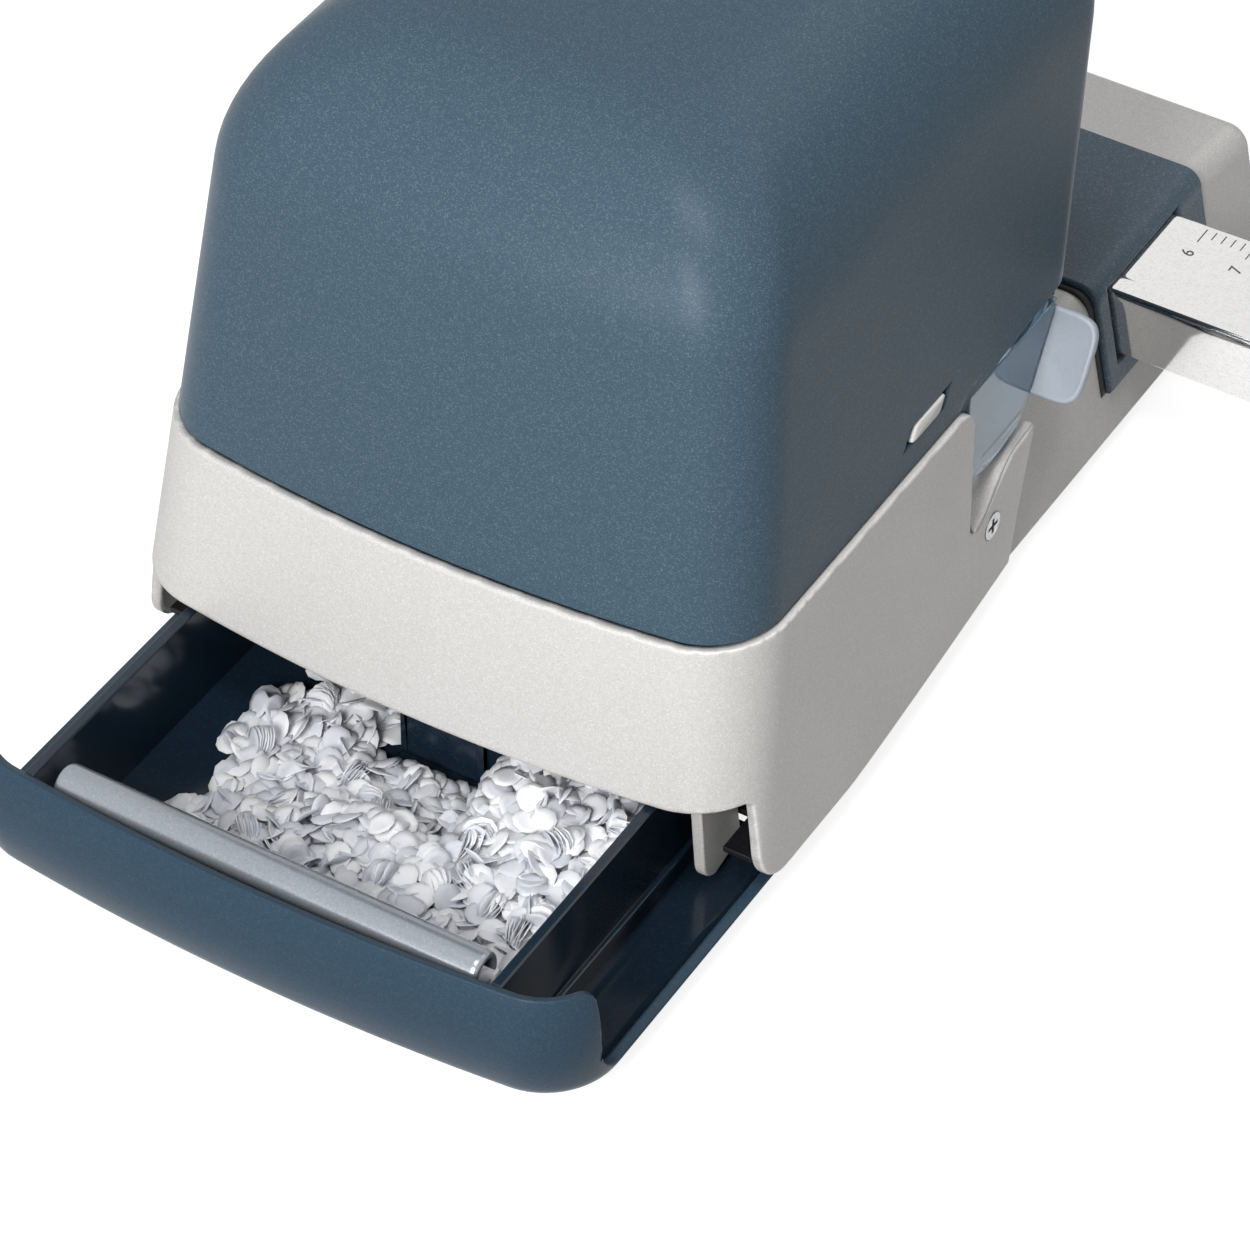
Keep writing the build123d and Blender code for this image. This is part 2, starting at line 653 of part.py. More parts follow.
with BuildPart() as paper_chips:
    for z, inset in ((floor_top + part_gap, 0.0), (chips_top, 6.0)):
        with BuildSketch(Plane.XY.offset(z)):
            with Locations(((chips_x0 + chips_x1 + inset) / 2, box_y + chips_len / 2 + 9)):
                Rectangle(chips_x1 - chips_x0 - inset, chips_len - inset)
    loft(ruled=True)
    block(-tunnel_half_w - part_gap, tunnel_half_w + part_gap, box_y + tunnel_start - part_gap, box_end,
          0, 30, mode=Mode.SUBTRACT)
save(paper_chips, "paper_chips")

# rail inside the drawer's tunnel, and the leaf spring that holds the drawer shut
rail_front_y = box_y + drawer_out + tunnel_start + tunnel_wall + 1.4
rail_half_w = tunnel_half_w - tunnel_wall - 0.6
rail_top_z = drawer_top_z - tunnel_wall - 2.0
with BuildPart() as drawer_rail:
    block(-rail_half_w, rail_half_w, rail_front_y, frame_rear_y, plate_top_z, rail_top_z)
    block(-rail_half_w + 1.4, rail_half_w - 1.4, rail_front_y + 1.5, frame_rear_y - 1.5, plate_top_z - 1,
          rail_top_z - 1.5, mode=Mode.SUBTRACT)
save(drawer_rail, "drawer_rail")

with BuildPart() as drawer_latch:
    block(-4.5, 4.5, frame_rear_y, frame_rear_y + 0.8, rail_top_z / 2, rail_top_z)
    block(-4.5, 4.5, frame_rear_y - 22, frame_rear_y + 0.8, rail_top_z, rail_top_z + 0.8)
save(drawer_latch, "drawer_latch")


# ---------------------------------------------------------------- punch frame
punch_x = hole_spacing / 2
rack_top = drive_z + rack_over
column_top = rack_top + 4.5
sensor_y, sensor_z = frame_front_y - 5.0, slot_top_z + 1.8

with BuildPart() as punch_frame:
    block(-frame_half_w, frame_half_w, frame_front_y, frame_rear_y, jaw_low_z, table_z)
    block(-frame_half_w, frame_half_w, frame_front_y, frame_front_y + frame_spine_t, jaw_low_z,
          upper_jaw_top)
    block(-frame_half_w, frame_half_w, frame_front_y, frame_rear_y, upper_jaw_z, upper_jaw_top)
    for side in (-1, 1):
        block(side * leg_inner_x, side * frame_half_w, frame_front_y + 2,
              shell_rear_y - shell_seam_lean - 0.5, plate_top_z, jaw_low_z)
        post(side * punch_x, 0, upper_jaw_z, upper_jaw_top, 5.0, mode=Mode.SUBTRACT)
        post(side * punch_x, 0, jaw_low_z, table_z, 5.5, mode=Mode.SUBTRACT)
        post(side * column_x, 0, upper_jaw_z, upper_jaw_top, column_r, mode=Mode.SUBTRACT)
        rod(side * (frame_half_w - 6), side * frame_half_w, boss_y, boss_z, 1.5, mode=Mode.SUBTRACT)
        # ear that carries the paper lever's pin
        block(side * 5, side * 7, sensor_y - 2.5, frame_front_y, sensor_z - 2.5, upper_jaw_top)
    rod(-7, 7, sensor_y, sensor_z, 1.0, mode=Mode.SUBTRACT)
    # window for the paper lever, and the groove it dips into
    block(-4, 4, frame_front_y, frame_front_y + frame_spine_t, table_z - 3, upper_jaw_z, mode=Mode.SUBTRACT)
    block(-4, 4, frame_front_y + frame_spine_t, -8, table_z - 3, table_z, mode=Mode.SUBTRACT)
save(punch_frame, "punch_frame")

with BuildPart() as die_bushings:
    for side in (-1, 1):
        post(side * punch_x, 0, jaw_low_z, table_z, 5.5)
        post(side * punch_x, 0, jaw_low_z, table_z, hole_r + run_fit, mode=Mode.SUBTRACT)
        post(side * punch_x, 0, jaw_low_z, jaw_low_z + 3, hole_r + 0.6, mode=Mode.SUBTRACT)
save(die_bushings, "die_bushings")

with BuildPart() as guide_bushings:
    for side in (-1, 1):
        post(side * punch_x, 0, upper_jaw_z, upper_jaw_top, 5.0)
        post(side * punch_x, 0, upper_jaw_top, upper_jaw_top + bushing_flange, 6.2)
        post(side * punch_x, 0, upper_jaw_z, upper_jaw_top + bushing_flange, hole_r + run_fit,
             mode=Mode.SUBTRACT)
save(guide_bushings, "guide_bushings")

with BuildPart() as guide_columns:
    for side in (-1, 1):
        post(side * column_x, 0, upper_jaw_z, column_top, column_r)
save(guide_columns, "guide_columns")

with BuildPart() as column_bridge:
    block(-column_x - 5, column_x + 5, -5, 6, column_top - 4, column_top)
    for side in (-1, 1):
        post(side * column_x, 0, column_top - 4, column_top, column_r, mode=Mode.SUBTRACT)
save(column_bridge, "column_bridge")

# blocks that stop the paper's edge
stop_sites = [-30.0, 30.0]
with BuildPart() as paper_stops:
    for x in stop_sites:
        block(x - 6, x + 6, frame_front_y + frame_spine_t, -hole_to_edge, table_z, upper_jaw_z)
save(paper_stops, "paper_stops")


# ---------------------------------------------------------------- gears
def involute_turn(base_r, r):
    """Angle that the involute of a base circle has turned through at a radius."""
    if r <= base_r:
        return 0.0
    at = acos(base_r / r)
    return tan(at) - at


def gear_face(teeth, module, bore, gap_first=False):
    """Face of a spur gear in (y, z), a tooth (or a gap) centred on +y; returns the sketch."""
    pitch_r = module * teeth / 2
    base_r = pitch_r * cos(pressure_angle)
    tip_r = pitch_r + addendum * module
    root_r = pitch_r - dedendum * module
    step = 2 * pi / teeth
    half_at_pitch = (pi * module / 2 - backlash / 2) / (2 * pitch_r)

    def half(r):
        return half_at_pitch + involute_turn(base_r, pitch_r) - involute_turn(base_r, r)

    def at(r, angle):
        return (r * cos(angle), r * sin(angle))

    start_r = max(base_r, root_r)
    with BuildSketch(Plane.YZ) as face:
        with BuildLine():
            for tooth in range(teeth):
                mid = (tooth + (0.5 if gap_first else 0.0)) * step
                rising, falling = mid - half(start_r), mid + half(start_r)
                if start_r > root_r:
                    Line(at(root_r, rising), at(start_r, rising))
                ThreePointArc(at(start_r, rising), at(pitch_r, mid - half(pitch_r)),
                              at(tip_r, mid - half(tip_r)))
                ThreePointArc(at(tip_r, mid - half(tip_r)), at(tip_r, mid), at(tip_r, mid + half(tip_r)))
                ThreePointArc(at(tip_r, mid + half(tip_r)), at(pitch_r, mid + half(pitch_r)),
                              at(start_r, falling))
                if start_r > root_r:
                    Line(at(start_r, falling), at(root_r, falling))
                ThreePointArc(at(root_r, falling), at(root_r, mid + step / 2),
                              at(root_r, mid + step - half(start_r)))
        make_face()
        Circle(bore, mode=Mode.SUBTRACT)
    return face.sketch


def gear(x0, x1, y, z, face):
    """Adds a spur gear between two x on an axle at (y, z)."""
    extrude(face.moved(Location((x0, y, z))), amount=x1 - x0, dir=(1, 0, 0))


# ---------------------------------------------------------------- yoke and punches
tooth_half = pi * rack_module / 4 - backlash / 4
flank = tan(pressure_angle)

with BuildPart() as punch_yoke:
    block(-yoke_half_w, yoke_half_w, -6, 6, yoke_z, yoke_z + yoke_t)
    rack_root_y = rack_pitch_y + dedendum * rack_module
    block(-rack_half_w, rack_half_w, rack_root_y, 0.5, yoke_z + yoke_t, rack_top)
    with BuildSketch(Plane.YZ) as rack_teeth:
        for tooth in range(-3, 5):
            z = drive_z + (tooth + 0.5) * pi * rack_module
            tip = tooth_half - flank * addendum * rack_module
            root = tooth_half + flank * dedendum * rack_module
            with BuildLine():
                Polyline((rack_root_y + 0.2, z - root), (rack_root_y, z - root),
                         (rack_pitch_y - addendum * rack_module, z - tip),
                         (rack_pitch_y - addendum * rack_module, z + tip),
                         (rack_root_y, z + root), (rack_root_y + 0.2, z + root), close=True)
            make_face()
    extrude(amount=rack_half_w, both=True)
    for side in (-1, 1):
        post(side * column_x, 0, yoke_z, yoke_z + yoke_t, column_r + run_fit, mode=Mode.SUBTRACT)
        post(side * punch_x, 0, yoke_z, yoke_z + yoke_t, hole_r, mode=Mode.SUBTRACT)
        lengthways(side * punch_x, hole_r - 0.5, 6, yoke_z + yoke_t / 2, 1.25, mode=Mode.SUBTRACT)
save(punch_yoke, "punch_yoke")

punch_tip_z = slot_top_z + 0.9
for name, side in (("punch_pin_left", -1), ("punch_pin_right", 1)):
    with BuildPart() as punch_pin:
        post(side * punch_x, 0, punch_tip_z, yoke_z + yoke_t, hole_r)
        with Locations((side * punch_x, 0, punch_tip_z)):
            Cone(hole_r - 0.5, 0.3, 1.6, align=(Align.CENTER, Align.CENTER, Align.MIN), mode=Mode.SUBTRACT)
    save(punch_pin, name)

with BuildPart() as punch_set_screws:
    for side in (-1, 1):
        lengthways(side * punch_x, hole_r, 6, yoke_z + yoke_t / 2, 1.25)
        lengthways(side * punch_x, 4.8, 7, yoke_z + yoke_t / 2, 0.7, mode=Mode.SUBTRACT)
save(punch_set_screws, "punch_set_screws")

# ---------------------------------------------------------------- gear train
hub_x0 = plate_in_x + gear_plate_t + 0.6
hub_x1 = plate_out_x - 0.6
bearing_x = [(x, x + gear_plate_t) for x in (bracket_x, plate_in_x, plate_out_x)]

with BuildPart() as drive_shaft:
    rod(bracket_x - 1.5, plate_out_x + gear_plate_t + 1.5, drive_y, drive_z, shaft_r)
save(drive_shaft, "drive_shaft")

with BuildPart() as rack_pinion:
    gear(-rack_half_w, rack_half_w, drive_y, drive_z, gear_face(rack_pinion_teeth, rack_module, shaft_r))
save(rack_pinion, "rack_pinion")

with BuildPart() as final_gear:
    gear(hub_x0 + 1.4, hub_x0 + 6.4, drive_y, drive_z, gear_face(final_teeth, train_module, shaft_r))
    rod(hub_x0, hub_x0 + 1.4, drive_y, drive_z, shaft_r + 2)
    rod(hub_x0 + 6.4, hub_x1, drive_y, drive_z, shaft_r + 2)
    rod(hub_x0 - 1, hub_x1 + 1, drive_y, drive_z, shaft_r, mode=Mode.SUBTRACT)
    hole_ring_r = train_module * final_teeth * 0.3
    for turn in range(6):
        angle = turn * pi / 3
        rod(hub_x0, hub_x1, drive_y + hole_ring_r * cos(angle), drive_z + hole_ring_r * sin(angle), 3.4,
            mode=Mode.SUBTRACT)
save(final_gear, "final_gear")

with BuildPart() as transfer_gear:
    gear(hub_x0 + 1.0, hub_x0 + 7.4, transfer_y, drive_z,
         gear_face(transfer_small_teeth, train_module, axle_r + run_fit, gap_first=True))
    gear(hub_x0 + 7.4, hub_x0 + 11.9, transfer_y, drive_z,
         gear_face(transfer_big_teeth, motor_module, axle_r + run_fit))
    rod(hub_x0, hub_x0 + 1.0, transfer_y, drive_z, axle_r + 2)
    rod(hub_x0 + 11.9, hub_x1, transfer_y, drive_z, axle_r + 2)
    rod(hub_x0 - 1, hub_x1 + 1, transfer_y, drive_z, axle_r + run_fit, mode=Mode.SUBTRACT)
save(transfer_gear, "transfer_gear")

with BuildPart() as transfer_axle:
    rod(plate_in_x, plate_out_x + gear_plate_t, transfer_y, drive_z, axle_r)
save(transfer_axle, "transfer_axle")

with BuildPart() as motor_pinion:
    gear(hub_x0 + 6.9, hub_x0 + 12.4, motor_y, drive_z,
         gear_face(motor_teeth, motor_module, motor_shaft_r, gap_first=True))
save(motor_pinion, "motor_pinion")

with BuildPart() as motor_shaft:
    rod(plate_in_x - motor_len - 4, hub_x0 + 13.4, motor_y, drive_z, motor_shaft_r)
save(motor_shaft, "motor_shaft")

with BuildPart() as motor:
    rod(plate_in_x - motor_len, plate_in_x, motor_y, drive_z, motor_r)
    chamfer(motor.edges().filter_by(GeomType.CIRCLE), 1.2)
    rod(plate_in_x - motor_len - 3, plate_in_x - motor_len, motor_y, drive_z, motor_boss_r)
    rod(plate_in_x - motor_len - 3, plate_in_x, motor_y, drive_z, motor_shaft_r + run_fit,
        mode=Mode.SUBTRACT)
    for side in (-1, 1):
        with Locations((plate_in_x - motor_len - 2.5, motor_y + side * (motor_boss_r + 5), drive_z)):
            Box(5, 0.8, 4)
        rod(plate_in_x - 5, plate_in_x, motor_y, drive_z + side * motor_screw_r, 1.2, mode=Mode.SUBTRACT)
save(motor, "motor")

with BuildPart() as motor_screws:
    for side in (-1, 1):
        rod(plate_in_x - 5, plate_in_x + gear_plate_t, motor_y, drive_z + side * motor_screw_r, 1.2)
        rod(plate_in_x + gear_plate_t, plate_in_x + gear_plate_t + 1.5, motor_y,
            drive_z + side * motor_screw_r, 2.3)
save(motor_screws, "motor_screws")

# pillars stand just clear of the two large gears
by_transfer = motor_module * (transfer_big_teeth / 2 + addendum) + pillar_r + 1.0
by_final = train_module * (final_teeth / 2 + addendum) + pillar_r + 4.0
pillar_sites = [(gear_plate_rear_y - 5.0, upper_jaw_top + 8.3)]
pillar_sites += [(drive_y + by_final * cos(radians(233)), drive_z + by_final * sin(radians(233)))]
pillar_sites += [(transfer_y + by_transfer * cos(radians(turn)), drive_z + by_transfer * sin(radians(turn)))
                 for turn in (127, 239)]

inner_front = motor_y - motor_r - 1.9
outer_front = transfer_y - by_transfer
for name, x0, front in (("gear_plate_inner", plate_in_x, inner_front),
                        ("gear_plate_outer", plate_out_x, outer_front)):
    with BuildPart() as plate:
        with BuildSketch(Plane.YZ.offset(x0)):
            with BuildLine():
                Polyline((frame_front_y, upper_jaw_top), (gear_plate_rear_y, upper_jaw_top),
                         (gear_plate_rear_y, drive_z + 14), (front, drive_z + motor_r + 0.5),
                         (front, drive_z - motor_r - 2.5), (transfer_y - 2, drive_z - 28),
                         (frame_front_y, upper_jaw_top + 10), close=True)
            make_face()
        extrude(amount=gear_plate_t)
        x1 = x0 + gear_plate_t
        rod(x0, x1, drive_y, drive_z, shaft_r + 2, mode=Mode.SUBTRACT)
        rod(x0, x1, transfer_y, drive_z, axle_r, mode=Mode.SUBTRACT)
        for y, z in pillar_sites:
            rod(x0, x1, y, z, 1.3, mode=Mode.SUBTRACT)
        if x0 == plate_in_x:
            rod(x0, x1, motor_y, drive_z, motor_shaft_r + 2.4, mode=Mode.SUBTRACT)
            for side in (-1, 1):
                rod(x0, x1, motor_y, drive_z + side * motor_screw_r, 1.2, mode=Mode.SUBTRACT)
    save(plate, name)

with BuildPart() as plate_pillars:
    for y, z in pillar_sites:
        rod(plate_in_x + gear_plate_t, plate_out_x, y, z, pillar_r)
        rod(plate_in_x, plate_out_x + gear_plate_t, y, z, 1.3)
save(plate_pillars, "plate_pillars")

with BuildPart() as shaft_bracket:
    bracket_x1 = bracket_x + gear_plate_t
    block(bracket_x, bracket_x1, frame_front_y, gear_plate_rear_y, upper_jaw_top, drive_z + 10)
    rod(bracket_x, bracket_x1, drive_y, drive_z, shaft_r + 2, mode=Mode.SUBTRACT)
save(shaft_bracket, "shaft_bracket")

with BuildPart() as shaft_bearings:
    for x0, x1 in bearing_x:
        rod(x0, x1, drive_y, drive_z, shaft_r + 2)
        rod(x0, x1, drive_y, drive_z, shaft_r + run_fit, mode=Mode.SUBTRACT)
save(shaft_bearings, "shaft_bearings")


# ---------------------------------------------------------------- paper guide
bar_y0, bar_y1 = bar_y - bar_w / 2, bar_y + bar_w / 2

with BuildPart() as ruler_housing:
    outer, inner = -housing_proud, housing_t - housing_proud
    loft([base_plan(y, 0, outer, housing_low_z) for y in (housing_y0, housing_y1)], ruled=True)
    loft([base_plan(y, 0, inner, housing_low_z - 1) for y in (housing_y0 - 1, housing_y1 + 1)],
         ruled=True, mode=Mode.SUBTRACT)
    block(44, 70, bar_y0 - seam_gap, bar_y1 + seam_gap, bar_bottom_z - seam_gap, bar_top_z + 0.3,
          mode=Mode.SUBTRACT)
save(ruler_housing, "ruler_housing")

with BuildPart() as guide_bar:
    block(bar_inner_x, stop_x, bar_y0, bar_y1, bar_bottom_z, bar_top_z)
    edges = guide_bar.edges().filter_by(Axis.X).group_by(Axis.Z)[-1]
    fillet(edges, 1.0)
    block(bar_inner_x - 1, stop_x + 1, bar_y0 + bar_t, bar_y1 - bar_t, bar_bottom_z - 1, bar_top_z - bar_t,
          mode=Mode.SUBTRACT)
save(guide_bar, "guide_bar")

with BuildPart() as guide_stop:
    block(stop_x, stop_x + stop_t, bar_y0 - 3, bar_y1 + 3, bar_bottom_z - 4, stop_top_z)
    upright = guide_stop.edges().filter_by(Axis.X)
    fillet(upright, 4)
    rim = guide_stop.faces().sort_by(Axis.X)[-1].edges()
    fillet(rim, 2)
    block(stop_x - 8, stop_x, bar_y0 + bar_t + run_fit, bar_y1 - bar_t - run_fit, bar_bottom_z + 3,
          bar_top_z - bar_t)
    post(stop_x - 4, bar_y, bar_bottom_z + 2, bar_bottom_z + 9, 1.5, mode=Mode.SUBTRACT)
save(guide_stop, "guide_stop")

with BuildPart() as guide_stop_screw:
    post(stop_x - 4, bar_y, bar_bottom_z + 1.6, bar_bottom_z + 3, 3.0)
    post(stop_x - 4, bar_y, bar_bottom_z + 3, bar_bottom_z + 9, 1.5)
save(guide_stop_screw, "guide_stop_screw")

track_top = bar_top_z - bar_t - part_gap
track_half = bar_w / 2 - bar_t - part_gap
with BuildPart() as guide_track:
    block(-track_half_len, track_half_len, bar_y - track_half, bar_y + track_half, plate_top_z, track_top)
    block(-track_half_len + 2, track_half_len - 2, bar_y - track_half + 2, bar_y + track_half - 2,
          plate_top_z - 1, track_top - 2.4, mode=Mode.SUBTRACT)
    post(detent_x, bar_y, track_top - 3, track_top + 1, 1.6, mode=Mode.SUBTRACT)
save(guide_track, "guide_track")

with BuildPart() as guide_detent:
    post(detent_x, bar_y, track_top - 2.4, track_top + part_gap - run_fit, 1.6)
    fillet(guide_detent.edges().sort_by(Axis.Z)[-1], 0.6)
save(guide_detent, "guide_detent")

# ---------------------------------------------------------------- paper sensor
# outline of the lever, as offsets from its pin: hub, arm through the window, toe in the slot, tail
lever_outline = [(0, 2.2), (2.5, 1.6), (4.5, -1.0), (14.8, -1.6), (17.2, -4.8), (16.4, -6.0), (13, -5.8),
                 (4.5, -3.7), (0, -2.2), (-6, 0), (-6, 1.3)]
switch_z0, switch_z1 = sensor_z + 3.6, sensor_z + 12.0

with BuildPart() as sensor_lever:
    with BuildSketch(Plane.YZ):
        with BuildLine():
            Polyline(*[(sensor_y + a, sensor_z + b) for a, b in lever_outline], close=True)
        make_face()
    extrude(amount=1.8, both=True)
    rod(-2, 2, sensor_y, sensor_z, 1.0 + run_fit, mode=Mode.SUBTRACT)
save(sensor_lever, "sensor_lever")

with BuildPart() as sensor_pin:
    rod(-7, 7, sensor_y, sensor_z, 1.0)
save(sensor_pin, "sensor_pin")

with BuildPart() as paper_switch:
    block(-3, 3, frame_front_y - 14, frame_front_y, switch_z0, switch_z1)
    block(-1, 1, frame_front_y - 12, frame_front_y - 10, switch_z0 - 1, switch_z0)
    for back in (11, 7, 3):
        block(-0.4, 0.4, frame_front_y - back - 1, frame_front_y - back + 1, switch_z1, switch_z1 + 3)
save(paper_switch, "paper_switch")

# ---------------------------------------------------------------- electronics and controls
top = board_z + board_t
board_screw_sites = [(side * board_screw_x, y) for side in (-1, 1) for y in (board_y0 + 3, board_y1 - 3)]

with BuildPart() as board_standoffs:
    for x, y in board_screw_sites:
        post(x, y, plate_top_z, board_z, 2.5)
        post(x, y, board_z, top, 1.4)
        post(x, y, top, top + 1.4, 2.4)
save(board_standoffs, "board_standoffs")

with BuildPart() as circuit_board:
    block(-board_half_w, board_half_w, board_y0, board_y1, board_z, top)
    for x, y in board_screw_sites:
        post(x, y, board_z, top, 1.4, mode=Mode.SUBTRACT)
save(circuit_board, "circuit_board")

with BuildPart() as board_parts:
    for x, r, height in ((-26, 5, 13), (-13, 4, 10), (-4, 3, 8)):
        post(x, (board_y0 + board_y1) / 2, top, top + height, r)
    block(4, 14, board_y0 + 2, board_y1 - 3, top, top + 3)
    block(18, 20, board_y0 + 2, board_y1 - 2, top, top + 15)
    block(21, 29, board_y0 + 4, board_y0 + 10, top, top + 7)
    block(30, 34, board_y0 + 2, board_y0 + 14, top, top + 9)
save(board_parts, "board_parts")

panel_y = base_rear_y - base_wall
with BuildPart() as control_board:
    block(rocker_x - 10, light_x + 3, panel_y - 12.4, panel_y - 10.8, plate_top_z, control_z + 13)
save(control_board, "control_board")

with BuildPart() as power_inlet:
    block(inlet_x - 5.7, inlet_x + 5.7, panel_y - 10, base_rear_y, control_z - 4.7, control_z + 4.7)
    lengthways(inlet_x, base_rear_y - 9, base_rear_y + 1, control_z, 3.2, mode=Mode.SUBTRACT)
    block(inlet_x - 5.7, inlet_x + 5.7, panel_y - 10, panel_y - 3, plate_top_z, control_z - 4.7)
save(power_inlet, "power_inlet")

with BuildPart() as rocker_bezel:
    block(rocker_x - 6.9, rocker_x + 6.9, panel_y - 10.8, base_rear_y, control_z - 4.9, control_z + 4.9)
    block(rocker_x - 5.2, rocker_x + 5.2, panel_y - 7, base_rear_y + 1, control_z - 4.2, control_z + 4.2,
          mode=Mode.SUBTRACT)
    rod(rocker_x - 6.9, rocker_x + 6.9, base_rear_y - 3, control_z, 1.0, mode=Mode.SUBTRACT)
save(rocker_bezel, "rocker_bezel")

with BuildPart() as power_rocker:
    with BuildSketch(Plane.YZ.offset(rocker_x)):
        with BuildLine():
            Polyline((base_rear_y - 5.5, control_z - 2), (base_rear_y + 1.2, control_z - 3.4))
            ThreePointArc((base_rear_y + 1.2, control_z - 3.4), (base_rear_y + 0.5, control_z),
                          (base_rear_y + 1.2, control_z + 3.4))
            Polyline((base_rear_y + 1.2, control_z + 3.4), (base_rear_y - 5.5, control_z + 2),
                     (base_rear_y - 5.5, control_z - 2))
        make_face()
    extrude(amount=4.9, both=True)
    rod(rocker_x - 4.9, rocker_x + 4.9, base_rear_y - 3, control_z, 1.0 + run_fit, mode=Mode.SUBTRACT)
save(power_rocker, "power_rocker")

with BuildPart() as rocker_pin:
    rod(rocker_x - 6.9, rocker_x + 6.9, base_rear_y - 3, control_z, 1.0)
save(rocker_pin, "rocker_pin")

with BuildPart() as reverse_button:
    lengthways(button_x, panel_y - 4.8, base_rear_y + control_proud, control_z, 4.3)
    fillet(reverse_button.edges().sort_by(Axis.Y)[-1], 0.8)
save(reverse_button, "reverse_button")

with BuildPart() as button_switch:
    block(button_x - 3, button_x + 3, panel_y - 10.8, panel_y - 7.6, control_z - 3, control_z + 3)
save(button_switch, "button_switch")

with BuildPart() as power_light:
    lengthways(light_x, panel_y - 10.8, base_rear_y + 0.4, control_z, 1.8)
save(power_light, "power_light")
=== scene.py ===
import bpy, bmesh, json
import numpy as np
from mathutils import Matrix, Vector
from numpy import array, clip, concatenate as concat, cos, linspace, pi, radians, sin, stack, tan, where


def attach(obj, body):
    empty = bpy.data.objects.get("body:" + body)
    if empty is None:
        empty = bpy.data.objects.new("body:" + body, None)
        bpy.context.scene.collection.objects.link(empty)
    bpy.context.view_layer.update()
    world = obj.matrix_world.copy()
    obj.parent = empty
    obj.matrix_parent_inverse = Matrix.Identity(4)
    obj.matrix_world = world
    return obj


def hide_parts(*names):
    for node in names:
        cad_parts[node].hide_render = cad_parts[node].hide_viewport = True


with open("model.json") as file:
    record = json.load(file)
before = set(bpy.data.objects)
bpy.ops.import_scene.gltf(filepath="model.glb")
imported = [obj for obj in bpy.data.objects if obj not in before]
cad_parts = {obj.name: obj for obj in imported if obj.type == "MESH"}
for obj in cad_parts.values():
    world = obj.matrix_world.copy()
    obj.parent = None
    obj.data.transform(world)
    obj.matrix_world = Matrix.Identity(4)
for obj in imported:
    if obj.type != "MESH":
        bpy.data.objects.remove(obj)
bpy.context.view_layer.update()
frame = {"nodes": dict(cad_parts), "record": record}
nodes = frame["nodes"]
mm = 1000  # shapes are worked out in mm, from the line of the punches
shift = array([-12, 20.1, 0])  # mm, from there to the origin
print("frame loaded:", len(nodes), "nodes")


class Spec(dict):
    # a dictionary whose entries are also read as attributes
    __getattr__ = dict.__getitem__

    def some(self, names):
        return [self[name] for name in names.split()]


# azimuths run from the front towards the right and heights above the level, in degrees; the rest is in metres
cameraSpec = Spec(
    place=(0.361007, -0.619536, 0.657372), azimuth=31.5, height=43, lens=152.64, sensor=36, near=0.05, far=20)
lampSpec = Spec(
    key=Spec(azimuth=7, height=32, far=1.3, size=(0.42, 0.60), watts=12.5, colour=(1, 0.995, 0.98)),
    low=Spec(azimuth=-6, height=17, far=1.3, size=(0.34, 0.30), watts=3.2, colour=(0.99, 0.99, 1)),
    rear=Spec(azimuth=165, height=50, far=1.2, size=(0.9, 0.4), watts=2.2, colour=(1, 0.97, 0.93)),
    top=Spec(azimuth=20, height=72, far=1.2, size=(0.36, 0.30), watts=5, colour=(1, 1, 1)),
)
studioSpec = Spec(ambient=0.10, sky=(0.96, 0.98, 1), paper=(0.34, 0.34, 0.34), glow=0.86, half=3, aimZ=0.05)
white = (1, 1, 1, 1)


def addObject(name, data):
    made = bpy.data.objects.new(name, data)
    bpy.context.scene.collection.objects.link(made)
    return made


def setSockets(shader, values):
    for socket, value in values.items():
        shader.inputs[socket].default_value = value


def addNode(tree, kind, values={}):
    # a shader node with some of its sockets set
    made = tree.nodes.new("ShaderNode" + kind)
    setSockets(made, values)
    return made


def wire(tree, *pairs):
    for start, end in pairs:
        tree.links.new(start, end)


def bearing(azimuth, height):
    # the direction from the object to something at that azimuth and height
    a, e = radians(azimuth), radians(height)
    return Vector((sin(a) * cos(e), -cos(a) * cos(e), sin(e)))


def aimed(place, look):
    # turned to look along a direction: the third column is minus the direction, the first lies level
    right = look.cross(Vector((0, 0, 1))).normalized()
    turn = Matrix((right, right.cross(look), -look)).transposed().to_4x4()
    return Matrix.Translation(Vector(place)) @ turn


def addCamera(spec):
    data = bpy.data.cameras.new("photoCamera")
    data.lens, data.sensor_width, data.sensor_fit = spec.lens, spec.sensor, "AUTO"
    data.clip_start, data.clip_end = spec.near, spec.far
    camera = addObject("photoCamera", data)
    camera.matrix_world = aimed(spec.place, -bearing(spec.azimuth, spec.height))
    bpy.context.scene.camera = camera


def addLamp(name, spec):
    data = bpy.data.lights.new(name, "AREA")
    data.shape, data.size, data.size_y = "RECTANGLE", spec.size[0], spec.size[1]
    data.energy, data.color = spec.watts, spec.colour
    toLamp = bearing(spec.azimuth, spec.height)
    place = toLamp * spec.far + Vector((0, 0, studioSpec.aimZ))
    addObject(name, data).matrix_world = aimed(place, -toLamp)


def seenMix(tree, plain, seen, output):
    # rays that look, mirror or pass through meet the seen shader, all the others the plain one
    rays = addNode(tree, "LightPath")
    factor = rays.outputs["Is Camera Ray"]
    for name in ("Is Glossy Ray", "Is Transmission Ray"):
        either = addNode(tree, "Math")
        either.operation = "MAXIMUM"
        wire(tree, (factor, either.inputs[0]), (rays.outputs[name], either.inputs[1]))
        factor = either.outputs[0]
    mix = addNode(tree, "MixShader")
    wire(tree, (factor, mix.inputs[0]), (plain.outputs[0], mix.inputs[1]), (seen.outputs[0], mix.inputs[2]),
         (mix.outputs[0], output.inputs["Surface"]))


